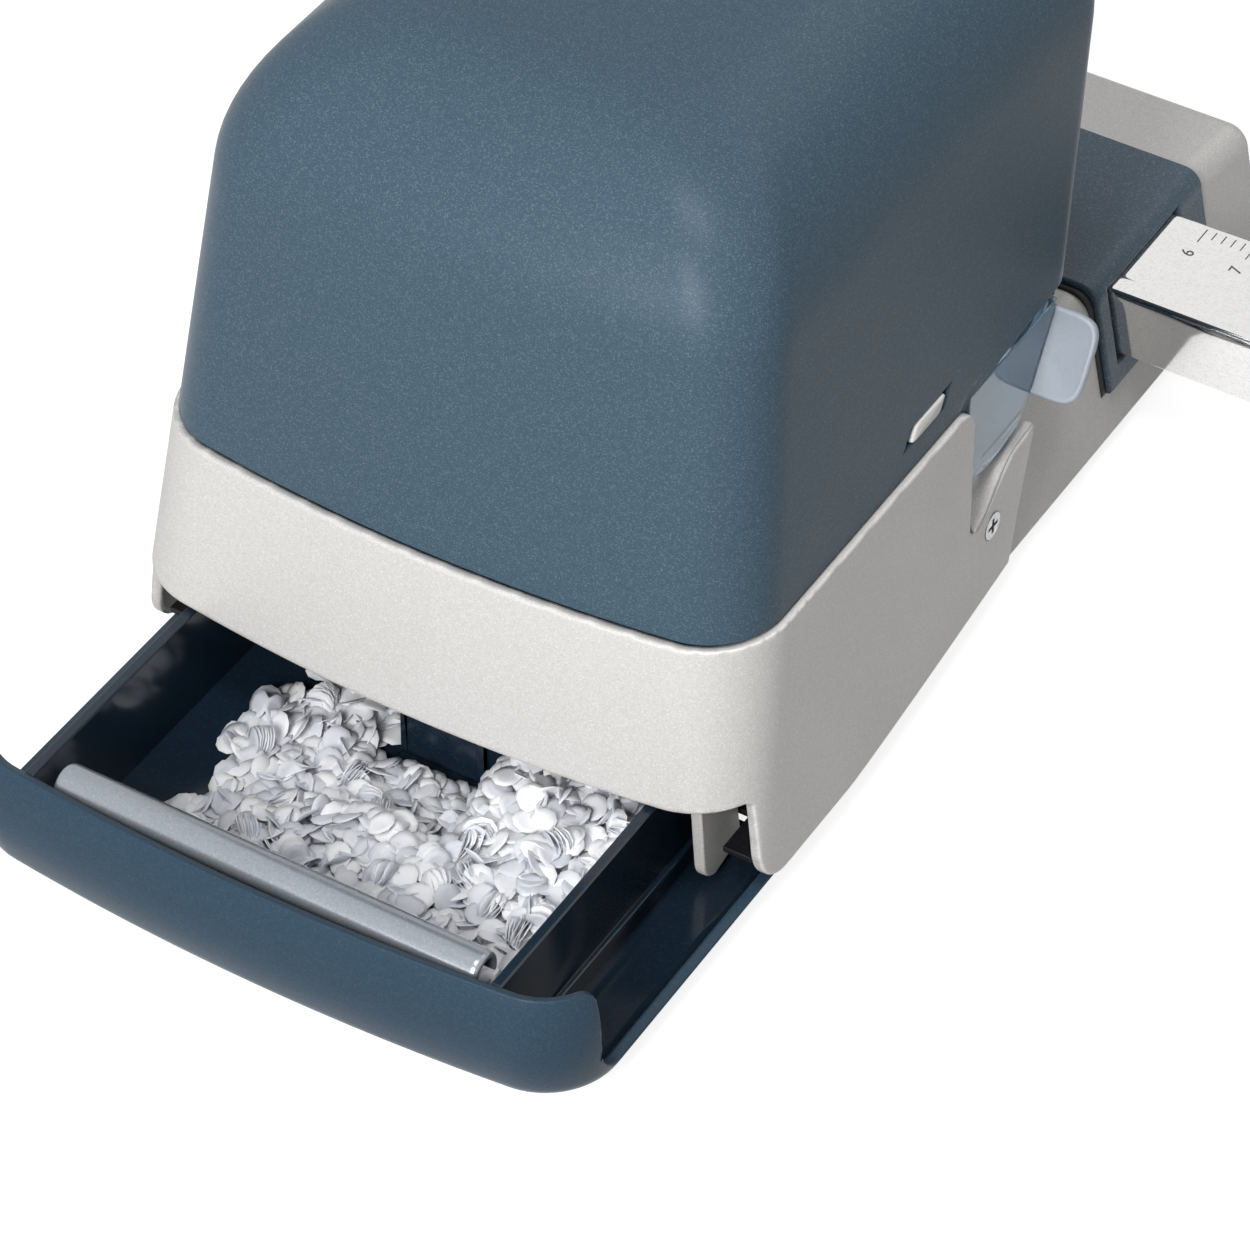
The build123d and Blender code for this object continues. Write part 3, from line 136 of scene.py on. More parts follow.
def addWorld(spec):
    world = bpy.data.worlds.new("studio")
    bpy.context.scene.world = world
    world.use_nodes = True
    tree = world.node_tree
    tree.nodes.clear()
    soft = addNode(tree, "Background", {"Color": (*spec.sky, 1), "Strength": spec.ambient})
    bright = addNode(tree, "Background", {"Color": white, "Strength": 1})
    seenMix(tree, soft, bright, addNode(tree, "OutputWorld"))


def addFloor(spec):
    # a level square; its glow, for seen rays only, lifts it to white
    mesh = bpy.data.meshes.new("studioFloor")
    h = spec.half
    mesh.from_pydata([(-h, -h, 0), (h, -h, 0), (h, h, 0), (-h, h, 0)], [], [(0, 1, 2, 3)])
    floor = addObject("studioFloor", mesh)
    paper = bpy.data.materials.new("floorPaper")
    paper.use_nodes = True
    tree = paper.node_tree
    tree.nodes.clear()
    flat = addNode(tree, "BsdfDiffuse", {"Color": (*spec.paper, 1)})
    glow = addNode(tree, "Emission", {"Color": white, "Strength": spec.glow})
    both = addNode(tree, "AddShader")
    wire(tree, (flat.outputs[0], both.inputs[0]), (glow.outputs[0], both.inputs[1]))
    seenMix(tree, flat, both, addNode(tree, "OutputMaterial"))
    mesh.materials.append(paper)


addCamera(cameraSpec)
for lampName in lampSpec:
    addLamp(lampName, lampSpec[lampName])
addWorld(studioSpec)
addFloor(studioSpec)
bpy.context.scene.view_settings.view_transform = "Standard"
print("camera, lamps and floor set")

# base and fleck are the ends of a colour ramp, bright is the share of cells that reach the fleck, cells are
# counted per metre, lift is the bump in micrometres; what a finish leaves out is taken from the plain one
plainFinish = Spec(
    bright=0.1, metal=0, shine=0.5, lift=0, coat=0, coatRough=0.1, smudge=55, detail=3, bump=0.6)
finishes = Spec(
    coverBlue=Spec(base=(0.054, 0.094, 0.131), fleck=(0.115, 0.165, 0.21), bright=0.09, cells=5600,
        shine=0.08, rough=(0.34, 0.40), lift=5, coat=0.08, coatRough=0.30),
    shellSilver=Spec(base=(0.625, 0.616, 0.603), fleck=(0.74, 0.735, 0.725), bright=0.07, cells=5000,
        metal=0.1, shine=0.25, rough=(0.40, 0.47), lift=5),
    tabSilver=Spec(base=(0.78, 0.775, 0.76), fleck=(0.85, 0.845, 0.84), bright=0.05, cells=4600,
        rough=(0.36, 0.44), lift=5),
    drawerBlue=Spec(base=(0.027, 0.056, 0.088), fleck=(0.040, 0.076, 0.112), bright=0.08, cells=4200,
        shine=0.14, rough=(0.30, 0.37), lift=8),
    # a glossier copy of the drawer's blue, darkened to about a third: painted shade for the box and the
    # drawer's inner side, where shade falls in the gutters
    boxBlue=Spec(base=(0.009, 0.019, 0.033), fleck=(0.014, 0.027, 0.044), bright=0.05, cells=3000, shine=0.4,
        rough=(0.12, 0.18)),
    # the grip's grey-blue is its plastic's own colour lightened toward its bright band: partly a painted
    # highlight
    gripBlue=Spec(base=(0.30, 0.33, 0.365), fleck=(0.35, 0.38, 0.42), bright=0.06, cells=3600, metal=0.45,
        rough=(0.22, 0.28), lift=2, coat=0.3, coatRough=0.2),
    housingBlue=Spec(base=(0.066, 0.104, 0.142), fleck=(0.15, 0.20, 0.25), bright=0.08, cells=4200,
        shine=0.25, rough=(0.34, 0.42), lift=10),
    chrome=Spec(base=(0.80, 0.795, 0.785), fleck=(0.82, 0.815, 0.80), cells=3000, metal=1,
        rough=(0.05, 0.08)),
    steel=Spec(base=(0.42, 0.43, 0.44), fleck=(0.58, 0.59, 0.60), cells=1500, metal=1, rough=(0.26, 0.40),
        lift=6),
    castGrey=Spec(base=(0.15, 0.155, 0.16), fleck=(0.25, 0.255, 0.26), cells=1200, metal=0.7,
        rough=(0.45, 0.65), lift=60),
    markGrey=Spec(base=(0.10, 0.10, 0.105), fleck=(0.14, 0.14, 0.145), cells=4000, shine=0.4,
        rough=(0.4, 0.5)),
    brass=Spec(base=(0.62, 0.44, 0.17), fleck=(0.76, 0.58, 0.28), cells=1600, metal=1, rough=(0.24, 0.36),
        lift=5),
    blackPlastic=Spec(base=(0.010, 0.010, 0.012), fleck=(0.022, 0.022, 0.024), cells=3200, shine=0.3,
        rough=(0.45, 0.58), lift=20),
    whitePlastic=Spec(base=(0.70, 0.69, 0.65), fleck=(0.77, 0.76, 0.72), cells=1500, rough=(0.35, 0.45),
        lift=10),
    rubberGrey=Spec(base=(0.36, 0.365, 0.36), fleck=(0.46, 0.465, 0.46), cells=1800, shine=0.4,
        rough=(0.48, 0.62), lift=20),
    boardGreen=Spec(base=(0.018, 0.13, 0.05), fleck=(0.05, 0.20, 0.09), bright=0.15, cells=900,
        rough=(0.30, 0.42), lift=10, coat=0.2, coatRough=0.2),
    lensGreen=Spec(base=(0.04, 0.42, 0.12), fleck=(0.06, 0.50, 0.16), bright=0.2, cells=900,
        rough=(0.12, 0.2), coat=0.4),
)
# through is the share of the light that passes, grain the bump in micrometres
clears = Spec(
    clearBlue=Spec(tint=(0.36, 0.53, 0.66), rough=0.06, through=0.85, grain=0),
    frostBlue=Spec(tint=(0.50, 0.55, 0.62), rough=0.42, through=0.25, grain=120),
    edgeWhite=Spec(tint=(0.86, 0.89, 0.93), rough=0.30, through=0.20, grain=0),
    clearGrey=Spec(tint=(0.62, 0.63, 0.63), rough=0.30, through=0.35, grain=20),
)
clearShared = Spec(waves=900, spread=(0.8, 1.25), ior=1.49)
paperSpec = Spec(shade=(0.60, 0.62, 0.68, 1), bright=(0.90, 0.905, 0.92, 1), fibres=2500, lift=30, rough=0.75)


def startMaterial(name):
    # a material, its tree, its shader and the object's own coordinates
    material = bpy.data.materials.new(name)
    material.use_nodes = True
    tree = material.node_tree
    return material, tree, tree.nodes["Principled BSDF"], addNode(tree, "TexCoord").outputs["Object"]


def makeFinish(name, spec):
    # each small cell draws a number, which a ramp turns into base, a shade above it, or the fleck; roughness
    # follows slow smudges; the cells' second number lifts a faint grain
    spec = Spec({**plainFinish, **spec})
    material, tree, bsdf, coords = startMaterial(name)
    cells = addNode(tree, "TexVoronoi", {"Scale": float(spec.cells)})
    draw, ramp = addNode(tree, "SeparateColor"), addNode(tree, "ValToRGB")
    base, fleck = array(spec.base), array(spec.fleck)
    stops = [(0, base * 0.90), (0.5, base), (1 - spec.bright * 2, base * 0.8 + fleck * 0.2), (1, fleck)]
    while len(ramp.color_ramp.elements) < len(stops):
        ramp.color_ramp.elements.new(0.5)
    for element, (place, colour) in zip(ramp.color_ramp.elements, stops):
        element.position, element.color = place, (*colour, 1)
    smudge = addNode(tree, "TexNoise", {"Scale": spec.smudge, "Detail": spec.detail})
    low, high = spec.rough
    rough = addNode(tree, "MapRange", {"From Min": 0.3, "From Max": 0.7, "To Min": low, "To Max": high})
    wire(tree, (coords, cells.inputs["Vector"]), (cells.outputs["Color"], draw.inputs[0]),
         (draw.outputs[0], ramp.inputs[0]), (ramp.outputs[0], bsdf.inputs["Base Color"]),
         (coords, smudge.inputs["Vector"]), (smudge.outputs["Fac"], rough.inputs["Value"]),
         (rough.outputs[0], bsdf.inputs["Roughness"]))
    setSockets(bsdf, {"Metallic": spec.metal, "Specular IOR Level": spec.shine,
            "Coat Weight": spec.coat, "Coat Roughness": spec.coatRough})
    if spec.lift > 0:
        bump = addNode(tree, "Bump", {"Strength": spec.bump, "Distance": spec.lift * 1e-6})
        wire(tree, (draw.outputs[1], bump.inputs["Height"]), (bump.outputs[0], bsdf.inputs["Normal"]))
    return material


def makeClear(name, spec):
    # clear plastic: light passes with a tint, fine waves stir its gloss and lift its grain
    material, tree, bsdf, coords = startMaterial(name)
    waves = addNode(tree, "TexNoise", {"Scale": clearShared.waves})
    low, high = clearShared.spread
    vary = addNode(tree, "MapRange", {"To Min": spec.rough * low, "To Max": spec.rough * high})
    wire(tree, (coords, waves.inputs["Vector"]), (waves.outputs["Fac"], vary.inputs["Value"]),
         (vary.outputs[0], bsdf.inputs["Roughness"]))
    setSockets(bsdf, {"Base Color": (*spec.tint, 1), "Transmission Weight": spec.through,
            "IOR": clearShared.ior})
    if spec.grain > 0:
        bump = addNode(tree, "Bump", {"Distance": spec.grain * 1e-6})
        wire(tree, (waves.outputs["Fac"], bump.inputs["Height"]), (bump.outputs[0], bsdf.inputs["Normal"]))
    return material


def makePaper(spec=paperSpec):
    # white paper: each chip's own tone mixes two whites, with a fine fibre bump
    material, tree, bsdf, coords = startMaterial("paperWhite")
    tone, mix = addNode(tree, "Attribute"), addNode(tree, "Mix")
    tone.attribute_name, mix.data_type = "chipTone", "RGBA"
    mix.inputs[6].default_value, mix.inputs[7].default_value = spec.shade, spec.bright
    fibre = addNode(tree, "TexNoise", {"Scale": spec.fibres})
    bump = addNode(tree, "Bump", {"Distance": spec.lift * 1e-6})
    wire(tree, (tone.outputs["Fac"], mix.inputs[0]), (mix.outputs[2], bsdf.inputs["Base Color"]),
         (coords, fibre.inputs["Vector"]), (fibre.outputs["Fac"], bump.inputs["Height"]),
         (bump.outputs[0], bsdf.inputs["Normal"]))
    bsdf.inputs["Roughness"].default_value = spec.rough
    return material


paint = {name: makeFinish(name, spec) for name, spec in finishes.items()}
paint.update({name: makeClear(name, spec) for name, spec in clears.items()})
paint["paperWhite"] = makePaper()
print("finishes made:", len(paint))


def gridFaces(rows, cols, keep=None):
    # the quads of a grid of rows x cols points; keep is a mask of those that stay
    r, c = np.meshgrid(np.arange(rows - 1), np.arange(cols - 1), indexing="ij")
    first = r * cols + c
    quads = stack([first, first + 1, first + cols + 1, first + cols], -1)
    return (quads if keep is None else quads[keep]).reshape(-1, 4)


def sheet(grid, flip=False, keep=None):
    # a grid of points with its quads
    faces = gridFaces(*grid.shape[:2], keep)
    return grid, faces[:, ::-1] if flip else faces


def xyz(x, y, z):
    # points from their coordinates
    return stack(np.broadcast_arrays(x, y, z), -1)


def joined(parts):
    # one set of points and faces from several
    starts = np.cumsum([0] + [len(p.reshape(-1, 3)) for p, _ in parts])
    return (concat([p.reshape(-1, 3) for p, _ in parts]),
            concat([f + start for (_, f), start in zip(parts, starts)]))


def mirrored(part):
    # a part and its image across x = 0
    points, faces = part
    return joined([(points, faces), (points * [-1, 1, 1], faces[:, ::-1])])


def toMesh(part, turn=True, caps=()):
    # mm become metres in the frame; doubles merge, and faces turn outwards
    points, faces = part
    mesh = bpy.data.meshes.new("shape")
    mesh.from_pydata(((points.reshape(-1, 3) + shift) / mm).tolist(), [], faces.tolist() + list(caps))
    work = bmesh.new()
    work.from_mesh(mesh)
    bmesh.ops.remove_doubles(work, verts=work.verts, dist=2e-6)
    bmesh.ops.dissolve_degenerate(work, edges=work.edges, dist=1e-7)
    if turn:
        bmesh.ops.recalc_face_normals(work, faces=work.faces)
    work.to_mesh(mesh)
    work.free()
    return mesh


def finished(holder, *helpers):
    # the mesh of an object with its modifiers applied; the objects are removed
    graph = bpy.context.evaluated_depsgraph_get()
    mesh = bpy.data.meshes.new_from_object(holder.evaluated_get(graph), depsgraph=graph)
    for used in (holder, *helpers):
        bpy.data.objects.remove(used)
    return mesh


def dress(piece, wall=0, edge=0, segments=3, inner=-1):
    # a wall, rounded along its rim; without a wall, sharp edges are rounded
    if wall:
        work = bmesh.new()
        work.from_mesh(piece.data)
        rim = [float(e.is_boundary) for e in work.edges]
        work.free()
        piece.data.attributes.new("bevel_weight_edge", "FLOAT", "EDGE").data.foreach_set("value", rim)
        solid = piece.modifiers.new("wall", "SOLIDIFY")
        solid.thickness, solid.offset, solid.use_even_offset = wall / mm, inner, False
    if edge:
        rounded = piece.modifiers.new("edge", "BEVEL")
        rounded.width, rounded.segments = edge / mm, segments
        rounded.limit_method, rounded.angle_limit = "WEIGHT" if wall else "ANGLE", radians(38)
        rounded.use_clamp_overlap, rounded.harden_normals = not wall, True


def addPiece(name, mesh, body, finish, stands=None, spec={}):
    # a piece rides on a body and stands for a CAD node; its spec may hold its wall and rounded edges in mm,
    # and the finish of the wall's inner side, which for the drawer is a darker blue: painted shade
    piece = addObject(name, mesh)
    mesh.name = name
    dress(piece, **{key: spec[key] for key in ("wall", "edge", "segments", "inner") if key in spec})
    mesh.polygons.foreach_set("use_smooth", [True] * len(mesh.polygons))
    mesh.materials.append(paint[finish])
    if "lining" in spec:
        mesh.materials.append(paint[spec["lining"]])
        piece.modifiers["wall"].material_offset = 1
    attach(piece, body)
    if stands:
        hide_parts(stands)


def boxPart(x0, x1, y0, y1, z0, z1):
    # the eight corners and six faces of a block
    p = array([(x, y, z) for z in (z0, z1) for y in (y0, y1) for x in (x0, x1)], float)
    return p, array([(0, 2, 3, 1), (4, 5, 7, 6), (0, 1, 5, 4), (2, 6, 7, 3), (0, 4, 6, 2), (1, 3, 7, 5)])


sideT = 2.5  # any t on the straight side of a plan
sideRun = 100  # mm along that side for each 1 of t


def bowCorner(t, halfW, frontY, bow, corner):
    # half plan: t 0..1 along the bow y = front + x^2 / 2R, t 1..2 round a tangent arc, then straight back
    x0 = halfW - corner
    radius = x0 ** 2 / (2 * bow)
    lean = x0 / radius
    for _ in range(4):
        lean = np.arctan((x0 + corner * sin(lean)) / radius)
    xe = x0 + corner * sin(lean)
    cy = frontY + xe ** 2 / (2 * radius) + corner * cos(lean)
    turn = (pi / 2 - lean) * clip(2 - t, 0, 1)
    x = where(t < 1, xe * t, x0 + corner * cos(turn))
    side = cy - corner * sin(turn) + sideRun * clip(t - 2, 0, None)
    return x, where(t < 1, frontY + x ** 2 / (2 * radius), side), cy, lean


def alongY(y, cy, lean, corner):
    # the t of a point at y, on the side or, from its sine, on the arc
    turn = np.arcsin(clip((cy - y) / corner, 0, 1))
    return where(y >= cy, 2 + (y - cy) / sideRun, 2 - turn / (pi / 2 - lean))


def ease(a, b, v):
    # 0 before a, 1 after b, 3v^2 - 2v^3 between
    v = clip((v - a) / (b - a), 0, 1)
    return v * v * (3 - 2 * v)


def circle(n):
    # cosines and sines of n points once round
    a = linspace(0, 2 * pi, n)
    return cos(a), sin(a)


def superCircle(n, power):
    # once round |u|^power + |v|^power = 1
    return [np.sign(w) * np.abs(w) ** (2 / power) for w in circle(n)]


def line(a, b, n):
    return linspace(a, b, n + 1)


def arc(centre, r, a0, a1, n):
    # points centre + r (cos a, sin a), a in degrees from a0 to a1
    a = radians(linspace(a0, a1, n + 1))
    return stack([centre[0] + r * cos(a), centre[1] + r * sin(a)], 1)


def chain(*legs):
    # joins legs of samples without repeating the joints
    return concat([leg if i == 0 else leg[1:] for i, leg in enumerate(legs)])


def through(stops, counts):
    # samples through stops, with so many steps from each to the next
    return chain(*[line(a, b, n) for a, b, n in zip(stops, stops[1:], counts)])


def bothSides(half):
    # a grid from the middle outwards, with its mirror image before it
    return concat([(half * array([-1, 1, 1]))[:, :0:-1], half], axis=1)


def between(low, top, lowOut, topOut, rim, rows, rounds=900):
    # a grid between two edges: a strip along each, rim mm wide, and inside them lines relaxed until
    # a p_uu - 2b p_uv + c p_vv = 0, a = |p_v|^2, b = p_u . p_v and c = |p_u|^2, so that none cross
    first, last = low + lowOut * rim, top + topOut * rim
    v = linspace(0, 1, rows)[:, None, None]
    p = first * (1 - v) + last * v
    for _ in range(rounds):
        pv, pu = (p[2:, 1:-1] - p[:-2, 1:-1]) / 2, (p[1:-1, 2:] - p[1:-1, :-2]) / 2
        a, b, c = (pv * pv).sum(-1), (pu * pv).sum(-1), (pu * pu).sum(-1)
        cross = (p[2:, 2:] - p[2:, :-2] - p[:-2, 2:] + p[:-2, :-2]) / 2
        sides = (a[..., None] * (p[1:-1, 2:] + p[1:-1, :-2]) + c[..., None] * (p[2:, 1:-1] + p[:-2, 1:-1])
                - b[..., None] * cross)
        p[1:-1, 1:-1] = sides / (2 * (a + c))[..., None]
    return concat([low[None], p, top[None]])


# body shell: the silver ring, the side walls with their round feet, and the tips beside the paper slot
shellSpec = Spec(
    topZ=59, halfW=60.5, frontY=-96.5, seamZ=28, seamFrontY=-103.3, skirtZ=7.3, flare=3.5, corner=16, bow=3,
    waistY=-60, rearY=12, narrow=4.8, narrowPower=1.15, lean=8, leanZ=36.5, notchY=-90.2, notchR=1.5, lobe=8,
    tipY=-13, tipR=5, fillet=2.6, slotZ=35.5, scoopZ=27.5, scoopEnd=6, strip=1.1, rows=20, wall=2.2, edge=0.5,
    planT=(0, 1, 2, 4), planRun=(0, 45, 67, 267), screwY=-4, screwZ=24, screwX=(60.2, 63.4),
    screwR=(2.75, 3.7))


def shellAt(t, z, s=shellSpec):
    # half plan at a height: the front leans, the sides flare, and behind the waist they narrow
    up = (s.topZ - z) / (s.topZ - s.skirtZ)
    frontY = s.frontY + (s.seamFrontY - s.frontY) * (s.topZ - z) / (s.topZ - s.seamZ)
    x, y, cy, lean = bowCorner(t, s.halfW + s.flare * up, frontY, s.bow, s.corner)
    past = clip((y - s.waistY) / (s.rearY - s.waistY), 0, 1.2)
    x = x - s.narrow * up * past ** s.narrowPower
    return xyz(x, y, z), cy, lean


def shellT(y, z, s=shellSpec):
    # the t of a point (y, z) on the side or the corner
    _, cy, lean = shellAt(np.full(np.shape(z), sideT), np.asarray(z, float))
    return alongY(np.asarray(y, float), cy, lean, s.corner)


def ridge(y, s=shellSpec):
    # height of the side wall's edge behind the tip: it climbs from the scoop to the paper table
    return s.scoopZ + (s.slotZ - s.scoopZ) * ease(s.tipY + 2, s.scoopEnd, y)


def makeShell(s=shellSpec):
    # edges are drawn in (run, z), run being mm along the plan, with the directions in which strips leave them
    ny, lo, tip, top, skirt, seam = s.some("notchY lobe tipY topZ skirtZ seamZ")
    r, tipR, fillet, bowRun = s.notchR, s.tipR, s.fillet, s.planRun[1]
    run = lambda t: np.interp(t, s.planT, s.planRun)
    onSide = lambda yz: stack([run(shellT(yz[:, 0], yz[:, 1])), yz[:, 1]], 1)
    level = lambda runs, z, counts: through([(x, z) for x in runs], counts)
    still = lambda d, n: np.tile(array(d, float), (n + 1, 1))
    swing = lambda a0, a1, n, sign: sign * arc((0, 0), 1, a0, a1, n)
    rearLow = s.rearY - s.lean * (1 - skirt / s.leanZ)
    notchRun = run(shellT([ny], [seam]))[0]
    low = chain(level((0, bowRun, notchRun - r), seam, (26, 12)), onSide(chain(
        arc((ny - r, seam - r), r, 90, 0, 5), line((ny, seam - r), (ny, skirt + lo), 9),
        arc((ny + lo, skirt + lo), lo, 180, 270, 12),
        level((ny + lo, -34, -29, -14, -11, rearLow), skirt, (18, 8, 14, 5, 14)))))
    lowOut = chain(still((0, 1), 38), swing(90, 0, 5, 1), still((1, 0), 9), swing(180, 270, 12, -1),
            still((0, 1), 59))
    tipRun = run(shellT([tip - tipR], [top]))[0]
    tipFoot = ridge(tip + fillet) + fillet
    rise = line(tip + fillet, s.rearY, 14)
    high = chain(level((0, bowRun, notchRun - 3, notchRun + 16, tipRun), top, (26, 12, 26, 18)), onSide(chain(
        arc((tip - tipR, top - tipR), tipR, 90, 0, 8), line((tip, top - tipR), (tip, tipFoot), 14),
        arc((tip + fillet, tipFoot), fillet, 180, 270, 5), stack([rise, ridge(rise)], 1))))
    highOut = chain(still((0, -1), 82), swing(90, 0, 8, -1), still((-1, 0), 14), swing(180, 270, 5, 1),
            still((0, -1), 14))
    net = between(low, high, lowOut, highOut, s.strip, s.rows)
    half = shellAt(np.interp(net[..., 0], s.planRun, s.planT), net[..., 1])[0]
    return toMesh(sheet(bothSides(half)))


def bored(mesh, s=shellSpec):
    # the finished wall, cut by a cone along x on each side, where a screw sits in it
    cosA, sinA = circle(33)
    r0, r1 = s.screwR
    x = array([40, 40, *s.screwX, 70, 70])[:, None]
    r = array([0, r0, r0, r1, r1 + 5, 0])[:, None]
    cone = xyz(x, s.screwY + r * cosA, s.screwZ + r * sinA)
    holders = [addObject("bore", data) for data in (mesh, toMesh(mirrored(sheet(cone))))]
    dress(holders[0], s.wall, s.edge)
    cut = holders[0].modifiers.new("bore", "BOOLEAN")
    cut.operation, cut.solver, cut.object = "DIFFERENCE", "EXACT", holders[1]
    result = finished(*holders)
    result.set_sharp_from_angle(angle=radians(40))
    result.materials.clear()
    return result


addPiece("bodyShell", bored(makeShell()), "base", "shellSilver", "body_shell")

cheekSpec = Spec(
    innerX=54.6, tableZ=35.45, y0=-11.2, y1=11.9, under=0.25, inside=0.5, dip=1.3, dipOver=8, wall=1, inner=1)


def makeCheeks(c=cheekSpec):
    # scoops beside the paper table: lines from the wall's edge to the table, dipped by a half sine
    y = linspace(c.y0, c.y1, 33)
    edgeZ = ridge(y) - c.under
    v = linspace(0, 1, 15)[:, None]
    outerX = shellAt(shellT(y, edgeZ), edgeZ)[0][:, 0] - c.inside
    dip = c.dip * sin(pi * v) * (c.tableZ - edgeZ) / c.dipOver
    points = xyz(outerX * (1 - v) + c.innerX * v, y, edgeZ * (1 - v) + c.tableZ * v - dip)
    return toMesh(mirrored(sheet(points)), turn=False)


addPiece("slotCheeks", makeCheeks(), "base", "shellSilver", "body_shell", cheekSpec)

legSpec = Spec(
    x=50.6, wall=2.2, frontY=-92, backY=-80, footZ=5.2, topZ=29.5, corner=4, rise=2, splay=1.6, into=0.8,
    edge=0.45)


def makeLegs(g=legSpec):
    # upright sheets under the ring: an outline in (y, z) with a round toe; they splay outwards
    corner, kneeZ = g.corner, g.footZ + g.corner
    toe = g.footZ + corner * (1 - sin(radians(linspace(0, 84, 12))))
    z = concat([linspace(g.topZ, kneeZ, 10)[:-1], toe])[:, None]
    front = g.frontY + corner * (1 - cos(np.arcsin(clip((kneeZ - z) / corner, 0, 1))))
    f = linspace(0, 1, 9)[None, :]
    lean = g.splay * (1 - (z - g.footZ) / (g.topZ - g.footZ))
    points = xyz(g.x + g.wall + lean - g.into, front * (1 - f) + g.backY * f, z + g.rise * f * ease(14, 5, z))
    return toMesh(mirrored(sheet(points, flip=True)), turn=False)


addPiece("shellLegs", makeLegs(), "base", "shellSilver", "body_shell", legSpec)

# flat ledges inside the shell over the drawer's gutters, with a tongue forward beside each leg; they are
# black, dark sheets that stand for the shade there
shelfSpec = Spec(
    ledge=(50.6, 60.4, -79, -31, 11, 12.2), tongue=(54.8, 60.4, -88.5, -78.5, 11.2, 12.4), edge=0.2,
    segments=2)
shelves = mirrored(joined([boxPart(*shelfSpec.ledge), boxPart(*shelfSpec.tongue)]))
addPiece("gutterShelves", toMesh(shelves, turn=False), "base", "blackPlastic", spec=shelfSpec)
print("body shell made")

# top cover: drafted walls that step out over the ring, a rounded roof, and a slanted window on each side
coverSpec = Spec(
    ringZ=59.3, topZ=137.8, dome=28, side=5, front=11, rear=16, halfW=59.4, frontY=-95.4, rearY=25.9,
    corner=14.2, rearCorner=8, rearBow=1.2, bow=3, lowZ=54, step=1.4, lip=0.6, tipY=-13, rise=4, windowY=-28,
    windowZ=66.2, windowLong=13.6, windowHigh=3.2, climb=5, slant=2.6, slantFade=7, roofRise=0.5,
    roofShrink=0.3, wall=2.4, edge=0.45)


def coverAt(t, z, inset, c=coverSpec):
    # half plan from the front middle (t 0) round both corners to the rear middle (t 5), drawn in by inset; the
    # side's share 0.35..0.6 lies along the window, whose ends slide with the height
    draft = lambda name: tan(radians(c[name]))
    up = clip(z - c.ringZ, 0, None)
    halfW = c.halfW - up * draft("side") - inset
    frontY = c.frontY + up * draft("front") + inset
    rearY = c.rearY + up * draft("rear") - inset * 0.9
    bow = c.bow * ((halfW - c.corner) / (c.halfW - c.corner)) ** 2
    x, y, cy, _ = bowCorner(np.minimum(t, 2), halfW, frontY, bow, c.corner)
    back = rearY - c.rearCorner
    slide = c.slant / 2 * clip((z - c.windowZ) / (c.windowHigh / 2), -1, 1)
    slide = slide * np.exp(-((z - c.windowZ) / c.slantFade) ** 4)
    y1, y2 = c.windowY - c.windowLong / 2 + slide, c.windowY + c.windowLong / 2 + slide
    f = clip(t - 2, 0, 1)
    sideY = where(f < 0.35, cy + (y1 - cy) * f / 0.35,
            where(f < 0.6, y1 + (y2 - y1) * (f - 0.35) / 0.25, y2 + (back - y2) * (f - 0.6) / 0.4))
    turn = pi / 2 * clip(t - 3, 0, 1)
    rest = clip(t - 4, 0, 1)
    r = c.rearCorner
    rearX = (halfW - r + r * cos(turn)) * (1 - rest)
    rearSide = back + r * sin(turn) + c.rearBow * sin(pi / 2 * rest)
    x = where(t > 2, where(t > 3, rearX, halfW), x)
    y = where(t > 2, where(t > 3, rearSide, sideY), y)
    return xyz(x, y, z)


